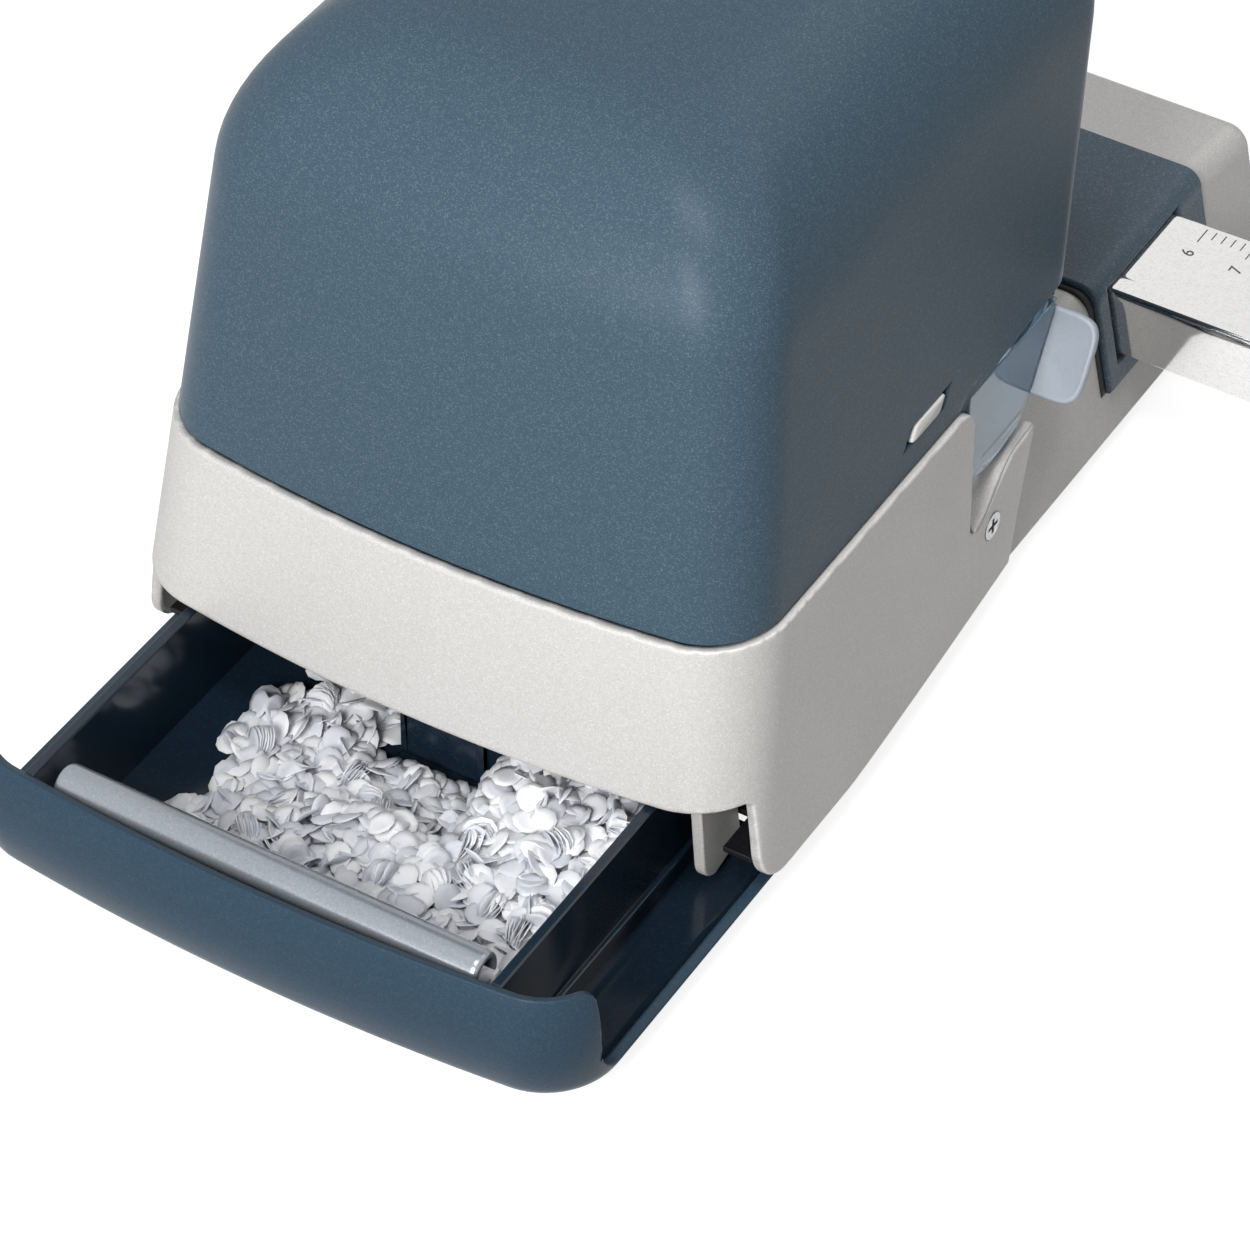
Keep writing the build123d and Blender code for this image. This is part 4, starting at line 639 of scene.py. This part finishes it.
def makeCover(c=coverSpec):
    # rows: the step over the ring, the window, the wall, a quarter round, and the roof, which one face closes
    counts = (26, 18, 16, 8, 16, 12, 20)
    t = through((0, 1, 2, 2.35, 2.6, 3, 4, 5), counts)[None, :]
    plain = coverAt(t, np.full_like(t, 60), 0)[..., 1]
    behind = ease(c.tipY - 3, c.tipY, plain)
    spanY = c.rearY + 20 - c.tipY
    lowEdge = c.lowZ + (60 - c.lowZ + (plain - c.tipY) * c.rise / spanY) * behind
    windowLow = c.windowZ - c.windowHigh / 2
    w0 = windowLow + c.climb * ease(-12, 14, plain)
    w1 = w0 + c.windowHigh
    domeZ = c.topZ - c.dome
    # the step: the skirt in the ring, a quarter round under the lip, the wall's foot
    q = radians([0, 22.5, 45, 67.5, 90])
    ringLevels = [c.lowZ, 56.5, c.ringZ - 0.02]
    level = concat([ringLevels, c.ringZ + c.lip * (1 - cos(q)), [62.2]])[:, None]
    drawn = concat([[c.step] * 3, c.lip * (1 - sin(q)), [0]])[:, None]
    skirt = lowEdge + (level - c.lowZ) / (windowLow - c.lowZ) * (w0 - lowEdge)
    window = w0 + (w1 - w0) * line(0, 1, 3)[:, None]
    walls = w1 + (domeZ - w1) * line(0, 1, 22)[1:-1, None]
    bend = radians(linspace(0, 90, 19))[:, None]
    z = concat([skirt, window, walls, domeZ + c.dome * sin(bend) + 0 * t])
    inset = concat([drawn * (1 - behind), np.zeros((len(window) + len(walls), 1)) + 0 * t,
            c.dome * (1 - cos(bend)) + 0 * t])
    half = coverAt(t, z, inset)
    rim = half[-1:]
    middle = array([0, (rim[0, 0, 1] + rim[0, -1, 1]) / 2, c.topZ])
    shrink = linspace(1, c.roofShrink, 7)[1:, None, None]
    roof = middle + (rim - middle) * shrink + array([0, 0, c.roofRise]) * (1 - shrink ** 2)
    half = concat([half, roof])
    keep = np.ones((half.shape[0] - 1, half.shape[1] - 1), bool)
    keep[len(skirt):len(skirt) + 3, sum(counts[:3]):sum(counts[:4])] = False
    grid = bothSides(half)
    n, m = grid.shape[:2]
    crown = list(range((n - 1) * m, n * m - 1))
    return toMesh(sheet(grid, keep=concat([keep[:, ::-1], keep], axis=1)), caps=[crown])


addPiece("topCover", makeCover(), "base", "coverBlue", "top_cover", coverSpec)

tabSpec = Spec(
    y=-28, long=10.2, z=66.2, high=2.7, slant=2.3, proud=0.35, power=8,
    steps=((0, 0), (0.9, 0), (0.97, -0.15), (1, -0.5), (1, -4), (0, -4)))


def makeTabs(g=tabSpec):
    # tongues in the windows: a slanted superellipse, carried inwards by steps of (share, depth)
    u, v = superCircle(49, g.power)
    wallX = coverAt(array([sideT]), array([g.z]), 0)[0, 0]
    rows = []
    for grow, out in g.steps:
        y = g.y + grow * (u * g.long / 2 + v * g.slant / 2)
        z = g.z + grow * v * g.high / 2
        x = wallX + g.proud + out - (z - g.z) * tan(radians(coverSpec.side))
        rows.append(xyz(x, y, z))
    return toMesh(mirrored(sheet(stack(rows))))


addPiece("snapTabs", makeTabs(), "base", "tabSilver", "cover_clips")
# black plates that close the windows behind: dark sheets that stand for the shaded inside of the cover
backSpec = Spec(box=(54.4, 55.6, -37, -19, 60.5, 72), edge=0.2, segments=2)
addPiece("windowBacks", toMesh(mirrored(boxPart(*backSpec.box)), turn=False), "base", "blackPlastic",
        spec=backSpec)
print("top cover made")

# chip drawer: the scooped front with its low wings, and the box between them
drawerSpec = Spec(
    rimZ=27.7, rimR=2, frontY=-151.3, halfW=62.6, wideW=63.3, corner=14, bow=2.5, lowZ=2.2, bulge=2.9,
    midZ=16, bulgeHalf=12, bendZ=8, bendHigh=5.8, bendIn=4.6, dropY=-140.7, dropR=7.3, wingZ=6.5, wingMid=34,
    wingEnd=-74, sink=3, innerX=47, innerY=-144.5, wall=2, edge=0.4, lining="boxBlue")


def tubAt(t, z, d=drawerSpec):
    # half plan at a height: it bulges by 1 - ((z - 16) / 12)^2, and a quarter ellipse draws it in below 8 mm
    bulge = d.bulge * clip(1 - ((z - d.midZ) / d.bulgeHalf) ** 2, 0, None)
    below = clip(d.bendZ - z, 0, None) / d.bendHigh
    under = d.bendIn * (1 - np.sqrt(clip(1 - below ** 2, 0, 1)))
    halfW = np.minimum(d.wideW, d.halfW + bulge * 0.25) - under
    x, y, cy, lean = bowCorner(t, halfW, d.frontY - bulge + under, d.bow, d.corner)
    return xyz(x, y, z), cy, lean


def makeTub(d=drawerSpec):
    # the low edge runs round the bottom, the top one along the rim, down an S and along the wing
    def onSide(yz):
        _, cy, lean = tubAt(np.full(len(yz), sideT), yz[:, 1])
        return stack([alongY(yz[:, 0], cy, lean, d.corner), yz[:, 1]], 1)

    top0, dy, r, rimR, wingZ, end = d.some("rimZ dropY dropR rimR wingZ wingEnd")
    dropT = onSide(array([[dy - rimR, top0]]))[0, 0]
    top = chain(through([(0, top0), (1, top0), (dropT, top0)], (34, 16)), onSide(chain(
        arc((dy - rimR, top0 - rimR), rimR, 90, 0, 3), line((dy, top0 - rimR), (dy, wingZ + r), 5),
        arc((dy + r, wingZ + r), r, 180, 270, 10),
        through([(dy + r, wingZ), (dy + d.wingMid, wingZ), (end, wingZ)], (12, 12)))))
    endT = onSide(array([[end, d.lowZ]]))[0, 0]
    tLow = through((0, 1, 1.45, 1.57, 1.75, 2.02, 2.34, endT), (34, 16, 3, 5, 10, 12, 12))
    plan = linspace(0, 2, 201)
    xLow = np.interp(tLow, plan, tubAt(plan, np.full(201, 4))[0][:, 0])
    low = stack([tLow, d.lowZ + d.sink * (1 - ease(35, 42, xLow))], 1)
    share = lambda f: 1 - cos(f * pi * 0.62)  # rows lie closer at the bottom
    v = (share(linspace(0, 1, 31)) / share(1))[:, None]
    wall = tubAt(*[low[None, :, i] * (1 - v) + top[None, :, i] * v for i in (0, 1)])[0]
    edge = wall[:1]
    inner = xyz(np.minimum(edge[..., 0], d.innerX), np.maximum(edge[..., 1], d.innerY), edge[..., 2])
    f = linspace(0, 1, 5)[:-1, None, None]
    return toMesh(sheet(bothSides(concat([inner * (1 - f) + edge * f, wall]))))


boxSpec = Spec(
    halfW=47.85, y0=-148, y1=-29, floorZ=4.6, floorT=1.6, topZ=27.2, thick=2, lip=1, lipZ=(8.6, 10),
    tunnelHalfW=8.5, tunnelY=-92, tunnelWall=1.6, edge=0.35, segments=2)


def makeBox(b=boxSpec):
    # floor, walls, lips over the wings, and the rail's tunnel, open below and behind
    w, y0, y1, z0, z1, t = b.some("halfW y0 y1 floorZ topZ thick")
    tw, ty, tt, floorTop = b.tunnelHalfW, b.tunnelY, b.tunnelWall, z0 + b.floorT
    end, (lipLow, lipTop) = drawerSpec.wingEnd, b.lipZ
    parts = [boxPart(-w, -tw, y0 - 0.4, y1, z0, floorTop), boxPart(tw, w, y0 - 0.4, y1, z0, floorTop),
            boxPart(-tw, tw, y0 - 0.4, ty, z0, floorTop), boxPart(-w, -tw, y1 - t, y1, z0, z1),
            boxPart(tw, w, y1 - t, y1, z0, z1), boxPart(-tw, tw, ty, ty + tt, z0, z1),
            boxPart(-tw, tw, ty, y1, z1 - tt, z1)]
    for x0, x1, *rest in (
            (w - t, w, y0 + 0.4, y1, z0, z1), (w - 1, w + 0.2, y0 + 4, end, drawerSpec.lowZ, lipTop),
            (w, w + b.lip, y0 + 3, end, lipLow, lipTop), (tw - tt, tw, ty, y1, z0, z1)):
        parts += [boxPart(x0, x1, *rest), boxPart(-x1, -x0, *rest)]
    return toMesh(joined(parts), turn=False)


# the box and the drawer's inner side take the darker blue, painted shade
addPiece("drawerFront", makeTub(), "drawer", "drawerBlue", "chip_drawer", drawerSpec)
addPiece("chipBox", makeBox(), "drawer", "boxBlue", "chip_drawer", boxSpec)

# the grip behind the drawer's rim; its ends are rounded over lengths, by drops
gripSpec = Spec(
    halfLen=42.5, y=-143.7, z=24, r=3.9, inner=2.6, lengths=(0, 0.25, 0.7, 1.4), drops=(0.7, 0.3, 0.08, 0),
    count=40)


def makeGrip(g=gripSpec):
    # a half-round channel, open below: a closed profile of outer and inner arcs carried along x
    n = g.count
    a = radians(linspace(-28, 208, n + 1))
    ends, drops = array(g.lengths), array(g.drops)
    x = concat([-g.halfLen + ends, g.halfLen - ends[::-1]])
    cut = concat([drops, drops[::-1]])
    outer, inner = [stack([g.y + r[:, None] * cos(a), g.z + r[:, None] * sin(a)], -1)
            for r in (g.r - cut, g.inner + cut * 0.3)]
    ring = concat([outer, inner[:, ::-1], outer[:, :1]], axis=1)
    grid, faces = sheet(xyz(x[:, None], ring[..., 0], ring[..., 1]))
    i = np.arange(n)
    starts = (0, (len(x) - 1) * ring.shape[1])
    caps = [stack([s + i, s + i + 1, s + 2 * n - i, s + 2 * n + 1 - i], 1) for s in starts]
    return toMesh((grid, concat([faces] + caps)))


addPiece("gripBar", makeGrip(), "drawer", "gripBlue", "drawer_grip")
print("drawer made")

# loose paper chips: a rough heap, layers of discs lying on it, and a few fanned stacks
chipSpec = Spec(
    r=2.75, thick=0.11, sides=10, seed=7, layers=3, layerStep=1.3, pitch=3.05, jitter=1.7, x=(-34, 44.5),
    y=(-139, -52), right=43.2, floor=6.4, curl=0.07, tilt=0.45, mostTilt=1.3, stacks=34, stackSize=7,
    stackLift=2.2, fanTilt=0.06, fanStep=0.42, clip=(-45.6, 45.7))
# the heap's tone leaves it nearly the paper's bluish grey: painted shade under the chips
heapSpec = Spec(x=(-44, 45), y=(-139.5, -45), samples=61, below=2.2, rough=0.5, tone=0.1)


def heapTop(x, y):
    # height of the heap: it rises to the right and the rear, with slow lumps, and is hollow over the tunnel
    rise = 5.5 + 8.5 * ease(-36, 6, x) + 5.5 * ease(-135, -95, y) * ease(-30, 20, x + 0.4 * (y + 100))
    hollow = 13 * np.exp(-(clip(np.abs(x) - 11, 0, None) / 5) ** 2) * ease(-120, -104, y)
    return rise - hollow + 1.6 * sin(x * 0.21 + 1.3) * cos(y * 0.17) + 1.1 * sin(x * 0.11 - y * 0.13)


def leftLimit(y):
    # the heap's ragged left edge
    return -34 + 4.5 * sin(y * 0.2) + 2 * sin(y * 0.57 + 1) + 3 * ease(-118, -132, y)


def turned(points, axis, angle):
    # points turned round a unit axis: p cos + (axis x p) sin + axis (axis . p) (1 - cos)
    c, s = cos(angle)[:, None, None], sin(angle)[:, None, None]
    axis = axis[:, None, :]
    along = axis * (points * axis).sum(-1, keepdims=True)
    return points * c + np.cross(np.broadcast_to(axis, points.shape), points) * s + along * (1 - c)


def chipFaces(n, k, sides):
    # faces of n chips of 2k points: a middle, a ring and an outer ring above, the same below
    i = np.arange(sides)
    j = (i + 1) % sides
    ringIn, ringOut = 1, 1 + sides
    top = stack([ringIn + i, ringOut + i, ringOut + j, ringIn + j], 1)
    rim = stack([ringOut + i, k + ringOut + i, k + ringOut + j, ringOut + j], 1)
    tri = stack([0 * i, ringIn + i, ringIn + j], 1)
    starts = (np.arange(n) * 2 * k)[:, None, None]
    quads = (concat([top, top[:, ::-1] + k, rim])[None] + starts).reshape(-1, 4)
    return quads.tolist() + (concat([tri, tri[:, ::-1] + k])[None] + starts).reshape(-1, 3).tolist()


def makeChips(s=chipSpec, h=heapSpec):
    # each chip is a thin disc bent round a line through its middle, z = curl x^2; it is spun, tilted and laid
    # on the heap's height; a stack's chips share a tilt and lean on each other
    rng = np.random.default_rng(s.seed)
    size = s.stackSize
    gx, gy = np.meshgrid(np.arange(*s.x, s.pitch), np.arange(*s.y, s.pitch))
    jitter = lambda g: (g + rng.uniform(-s.jitter, s.jitter, g.shape)).ravel()
    spots = concat([xyz(jitter(gx), jitter(gy), layer) for layer in range(s.layers)])
    clear = lambda p: ((p[:, 0] > leftLimit(p[:, 1])) & (p[:, 0] < s.right)
            & ~((np.abs(p[:, 0]) < 11.4) & (p[:, 1] > -96)))
    spots = spots[clear(spots)]
    loose = len(spots)
    seeds = xyz(rng.uniform(*s.x, 200), rng.uniform(*s.y, 200), 0)
    seeds = seeds[clear(seeds)][:s.stacks]
    spots = concat([spots, np.repeat(seeds, size, axis=0)])
    n, stacks = len(spots), len(seeds)
    a = linspace(0, 2 * pi, s.sides + 1)[:-1]
    spokes = stack([cos(a), sin(a)], 1)
    disc = s.r * concat([[[0, 0]], 0.55 * spokes, spokes])
    k = len(disc)
    curl = rng.normal(0, 0.05, n) + rng.choice([-s.curl, s.curl], n)
    curl[loose:] = np.repeat(rng.normal(0, 0.08, stacks), size)
    flat = xyz(disc[:, 0], disc[:, 1], curl[:, None] * disc[:, 0] ** 2)
    flat = concat([flat, flat - array([0, 0, s.thick])], axis=1)
    spin, lie = rng.uniform(0, 2 * pi, n), rng.uniform(0, 2 * pi, n)
    tilt = np.abs(rng.normal(0, s.tilt, n)).clip(0, s.mostTilt)
    order = np.tile(np.arange(size), stacks)
    lie[loose:] = np.repeat(rng.uniform(0, 2 * pi, stacks), size)
    tilt[loose:] = np.repeat(rng.uniform(0.8, s.mostTilt, stacks), size) + order * s.fanTilt
    chips = turned(flat, np.tile([0, 0, 1], (n, 1)), spin)
    chips = turned(chips, xyz(cos(lie), sin(lie), 0), tilt)
    lift = heapTop(spots[:, 0], spots[:, 1]) - (s.layers - 1 - spots[:, 2]) * s.layerStep
    lift = lift + rng.uniform(-0.5, 0.8, n) + 0.9 * sin(tilt)
    lift[loose:] += s.stackLift
    centre = xyz(spots[:, 0], spots[:, 1], np.maximum(lift, s.floor - chips[..., 2].min(1)))
    centre[loose:, :2] += s.fanStep * stack([sin(lie), -cos(lie)], 1)[loose:] * order[:, None]
    chips = chips + centre[:, None, :]
    chips[..., 0] = clip(chips[..., 0], *s.clip)
    # the heap under them: a height field on the box's floor, kept where it rises; its tone of 0.1 leaves it
    # near the paper's bluish grey, painted shade for chips in shadow under the top ones
    count = h.samples
    hx, hy = np.meshgrid(linspace(*h.x, count), linspace(*h.y, count))
    inside = ease(-1, 5, hx - leftLimit(hy)) * (1 - ease(0, 2, 13 - np.maximum(np.abs(hx), -91 - hy)))
    hz = s.floor + np.maximum(heapTop(hx, hy) - s.floor - h.below, 0.05) * inside
    hz = hz + h.rough * sin(hx * 2.1) * sin(hy * 2.3) * inside
    covered = (inside > 0.3).astype(int)
    keep = (covered[1:, 1:] + covered[:-1, 1:] + covered[1:, :-1] + covered[:-1, :-1]) > 3
    bed, bedFaces = sheet(xyz(hx, hy, hz), keep=keep)
    points = concat([chips.reshape(-1, 3), bed.reshape(-1, 3)])
    mesh = bpy.data.meshes.new("paperChips")
    mesh.from_pydata(((points + shift) / mm).tolist(), [],
            chipFaces(n, k, s.sides) + (bedFaces + n * 2 * k).tolist())
    tone = concat([np.repeat(rng.uniform(0, 1, n), 2 * k), np.full(count * count, h.tone)])
    mesh.attributes.new("chipTone", "FLOAT", "POINT").data.foreach_set("value", tone.astype(np.float32))
    print("chips:", n)
    return mesh


addPiece("paperChips", makeChips(), "drawer", "paperWhite", "paper_chips")
print("chips made")

# guide housing: a saddle over the base with a window for the bar on the right
housingSpec = Spec(
    y0=50, y1=92, topZ=37, lowZ=14, baseTop=35.5, topHalf=51, footHalf=57.5, lowBase=4.5, proud=1.5, corner=4,
    wall=2.4, edge=0.55, barY0=53.9, barY1=82.7, holeLow=18.4, holeTop=34.6)


def saddle(out, s=housingSpec):
    # profile (x, z), standing out by so much: up the flared side, round the shoulder, over the top and down
    flare = (s.footHalf - s.topHalf) / (s.baseTop - s.lowBase)
    at = lambda z: (s.topHalf + out + flare * (s.baseTop - z), z)
    r, top = s.corner, s.baseTop + out
    a0 = np.degrees(np.arcsin((s.holeTop - (s.topZ - r)) / r))
    cx = at(top - r)[0] - r
    half = chain(through([at(s.lowZ), at(s.holeLow), at(top - r)], (4, 10)),
            arc((cx, top - r), r, 0, a0, 3), arc((cx, top - r), r, a0, 90, 9), line((cx, top), (0, top), 24))
    return concat([half * [-1, 1], half[-2::-1]])


def carried(profile, stations, across):
    # a profile of two columns carried along x (across 0) or y (1)
    a, z = profile.T
    along = np.asarray(stations)[:, None]
    return xyz(a, along, z) if across else xyz(along, a, z)


def makeHousing(s=housingSpec):
    # the window lies between the bar's two sides, from the hole's foot to the shoulder
    grid = carried(saddle(s.proud), through((s.y0, s.barY0, s.barY1, s.y1), (3, 14, 4)), 1)
    n, m = grid.shape[:2]
    keep = np.ones((n - 1, m - 1), bool)
    keep[3:3 + 14, m - 1 - (4 + 10 + 3):m - 1 - 4] = False
    return toMesh(sheet(grid, keep=keep))


addPiece("guideHousing", makeHousing(), "base", "housingBlue", "ruler_housing", housingSpec)
gapShadowSpec = Spec(out=0.35, stations=((48.45, 50.6), (91.4, 92.5)), wall=1.2)


def makeShadowGap(g=gapShadowSpec):
    # a black band round the housing's two ends, painted shadow for the gap between the housing and the base:
    # the saddle, drawn in
    return toMesh(joined([sheet(carried(saddle(g.out), ends, 1)) for ends in g.stations]))


addPiece("housingSeam", makeShadowGap(), "base", "blackPlastic", "ruler_housing", gapShadowSpec)

# guide bar: an upturned channel with a rolled front edge, ruled in generic marks
barSpec = Spec(
    x0=-24, x1=86, y0=54.5, y1=82.1, topZ=34.2, lowZ=20.2, frontR=1.9, rearR=1.4, roll=0.35, rollFrom=4.4,
    rollTo=5.2, wall=1.2, edge=0.25, segments=2)


def barTop(y, b=barSpec):
    # height of the bar's top: flat, with a low bead along its front edge
    return b.topZ - b.roll * ease(b.y0 + b.rollFrom, b.y0 + b.rollTo, y)


def makeBar(b=barSpec):
    # up the front, over the bead, across the top and down the rear, carried along x
    y0, y1, r0, r1, lowZ = b.some("y0 y1 frontR rearR lowZ")
    top = line(y0 + r0, y1 - r1, 40)
    frontTop, rearTop = b.topZ, barTop(y1)
    profile = chain(line((y0, lowZ), (y0, frontTop - r0), 6), arc((y0 + r0, frontTop - r0), r0, 180, 90, 10),
            stack([top, barTop(top)], 1), arc((y1 - r1, rearTop - r1), r1, 90, 0, 8),
            line((y1, rearTop - r1), (y1, lowZ), 6))
    return toMesh(sheet(carried(profile, linspace(b.x0, b.x1, 45), 0)))


addPiece("guideBar", makeBar(), "guide", "chrome", "guide_bar", barSpec)

markSpec = Spec(
    first=60, last=84, step=2, rearY=80.2, long=2.4, longFifth=4.2, width=0.22, deep=0.2, sink=0.05, size=3.6,
    numberIn=8, firstNumber=6)


def makeMarks(m=markSpec):
    # thin lines along the bar's rear edge, each fifth one longer, with a plain number
    z = barTop(m.rearY - m.numberIn)
    xs = np.arange(m.first, m.last + 0.1, m.step)
    half = m.width / 2
    parts = [boxPart(x - half, x + half, m.rearY - m["long" if i % 5 else "longFifth"], m.rearY,
            z - m.deep, z + m.sink) for i, x in enumerate(xs)]
    meshes = [toMesh(joined(parts), turn=False)]
    for i, x in enumerate(xs[::5]):
        text = bpy.data.curves.new("number", "FONT")
        text.body, text.size = str(m.firstNumber + i), m.size / mm
        text.align_x, text.align_y, text.extrude = "CENTER", "CENTER", m.sink / mm
        flat = finished(addObject("number", text))
        place = (array([x, m.rearY - m.numberIn, z]) + shift) / mm
        flat.transform(Matrix.Translation(Vector(place)) @ Matrix.Rotation(radians(90), 4, "Z"))
        meshes.append(flat)
    work = bmesh.new()
    for mesh in meshes:
        work.from_mesh(mesh)
    bmesh.ops.remove_doubles(work, verts=work.verts, dist=1e-6)
    work.to_mesh(meshes[0])
    work.free()
    return meshes[0]


addPiece("barMarks", makeMarks(), "guide", "markGrey", "guide_bar")
print("guide made")

# throat guard: a clear sloped window with clear side walls and frosted ears
guardSpec = Spec(
    halfW=57.6, slope=59.5, lowZ=40.2, topZ=60, lipY=-6, bendY=10.2, bendR=3, tipY=-12.7, sideTop=59.5,
    sideLow=39.3, sideBack=1.9, sag=1.7, wall=1.5, edge=0.3, segments=2, inner=1)
sideSpec = Spec(wall=1.4, edge=0.3, segments=2)
rimSpec = Spec(r=0.55, out=0.15, startY=6.4, tabX=(-0.9, 0.5), tabY=(-8.4, -5.6), tabZ=(33.6, 38.8))
earSpec = Spec(
    x=59.9, halfW=8.1, long=16.6, power=4.5,
    steps=((0, 0.6), (0.86, 0.6), (0.90, 0.95), (0.96, 1.05), (1, 0.7), (1, -0.5), (0.97, -0.75), (0, -0.75)))
slope = radians(guardSpec.slope)


def makeGuard(g=guardSpec):
    # the window: a flat lip, a bend, then the slope, carried along x
    low, r = g.lowZ, g.bendR
    run, back = (g.topZ - low) / tan(slope), r * tan(slope / 2)
    profile = chain(line((g.lipY, low), (g.bendY - back, low), 6),
            arc((g.bendY - back, low + r), r, -90, -90 + g.slope, 8),
            line((g.bendY + back * cos(slope), low + back * sin(slope)),
            (g.bendY + run, g.topZ), 10))
    return toMesh(sheet(carried(profile, linspace(-g.halfW, g.halfW, 41), 0), flip=True), turn=False)


def sideLowZ(f, g=guardSpec):
    # the side walls' lower edge sags by a half sine
    return g.sideLow - g.sag * sin(pi * f)


def sideBackY(z, g=guardSpec):
    # where the side walls meet the slope
    return g.bendY + (z - g.lowZ) / tan(slope) - g.sideBack


def makeGuardSides(g=guardSpec):
    # side walls: lines from the lower edge to the top, from the tip back to the slope
    v = linspace(0, 1, 13)[:, None]
    f = linspace(0, 1, 21)[None, :]
    z = sideLowZ(f) * (1 - v) + g.sideTop * v
    y = g.tipY + (sideBackY(z) - g.tipY) * f
    return toMesh(mirrored(sheet(xyz(g.halfW, y, z), flip=True)), turn=False)


def makeRims(g=guardSpec, m=rimSpec):
    # bright cut edges: a tube along the sagging lower edge, thin at its ends, and a strip that hangs in front
    f = linspace(0, 1, 25)
    low = sideLowZ(f)
    startY = g.tipY + m.startY
    path = stack([startY + (sideBackY(low) - g.tipY - m.startY) * f, low], 1)
    cosA, sinA = circle(13)
    ahead = np.gradient(path, axis=0)
    ahead = ahead / np.linalg.norm(ahead, axis=1, keepdims=True)
    r = m.r * np.sqrt(clip(np.minimum(f, 1 - f) * 8, 0, 1))[:, None]
    tube = xyz(g.halfW + m.out + r * cosA, path[:, :1] - r * sinA * ahead[:, 1:],
            path[:, 1:] + r * sinA * ahead[:, :1])
    strip = boxPart(g.halfW + m.tabX[0], g.halfW + m.tabX[1], *m.tabY, *m.tabZ)
    return toMesh(mirrored(joined([sheet(tube), strip])))


def makeEars(g=guardSpec, e=earSpec):
    # tabs in the slope's plane: a superellipse with a raised rim, by steps of (share, height)
    run = (g.topZ - g.lowZ) / tan(slope)
    centre = array([e.x, g.bendY + run / 2, (g.topZ + g.lowZ) / 2])
    along, out = array([0, cos(slope), sin(slope)]), array([0, sin(slope), -cos(slope)])
    u, v = superCircle(65, e.power)
    share, high = array(e.steps)[:, :1], array(e.steps)[:, 1:]
    wide = (share * (u * e.halfW))[..., None] * array([1, 0, 0])
    points = centre + wide + (share * (v * e.long / 2))[..., None] * along - (high + 0 * u)[..., None] * out
    return toMesh(mirrored(sheet(points)))


for name, mesh, finish, spec in (
        ("throatGuard", makeGuard(), "clearBlue", guardSpec),
        ("guardSides", makeGuardSides(), "clearBlue", sideSpec),
        ("guardRims", makeRims(), "edgeWhite", {}), ("guardEars", makeEars(), "frostBlue", {})):
    addPiece(name, mesh, "base", finish, "throat_guard", spec)
print("guard made")

# feet: a profile of (mm inside the radius, z), from the top round to the shallow dish below
footSpec = Spec(
    r=7, high=3, sites=((38.5, -84), (49, 17), (46, 98)),
    side=((0.2, 3), (0, 2.7), (0.25, 1), (0.6, 0.35), (1.1, 0), (2.2, 0), (2.8, 0.3), (7, 0.3)))


def makeFeet(f=footSpec):
    # each foot is the profile turned round its axis
    prof = array([(0, f.high)] + [(f.r - inside, z) for inside, z in f.side])
    cosA, sinA = circle(41)
    rings = [xyz(x + prof[:, :1] * cosA, y + prof[:, :1] * sinA, prof[:, 1:]) for x, y in f.sites]
    return toMesh(mirrored(joined([sheet(ring, flip=True) for ring in rings])))


addPiece("rubberFeet", makeFeet(), "base", "clearGrey", "rubber_feet")

# finishes of the carried-over pieces: the slot's name in camelCase, apart from these
finishOf = Spec(
    cover_blue="housingBlue", bar_chrome="chrome", cast="castGrey", light_lens="lensGreen",
    paper="paperWhite")
for part in frame["record"]["subparts"]:
    slotName = part["material_slot"]
    words = slotName.split("_")
    finish = finishOf.get(slotName, words[0] + "".join(word.capitalize() for word in words[1:]))
    materials = nodes[part["node"]].data.materials
    materials.clear()
    materials.append(paint[finish])
print("finishes set on the carried-over pieces")
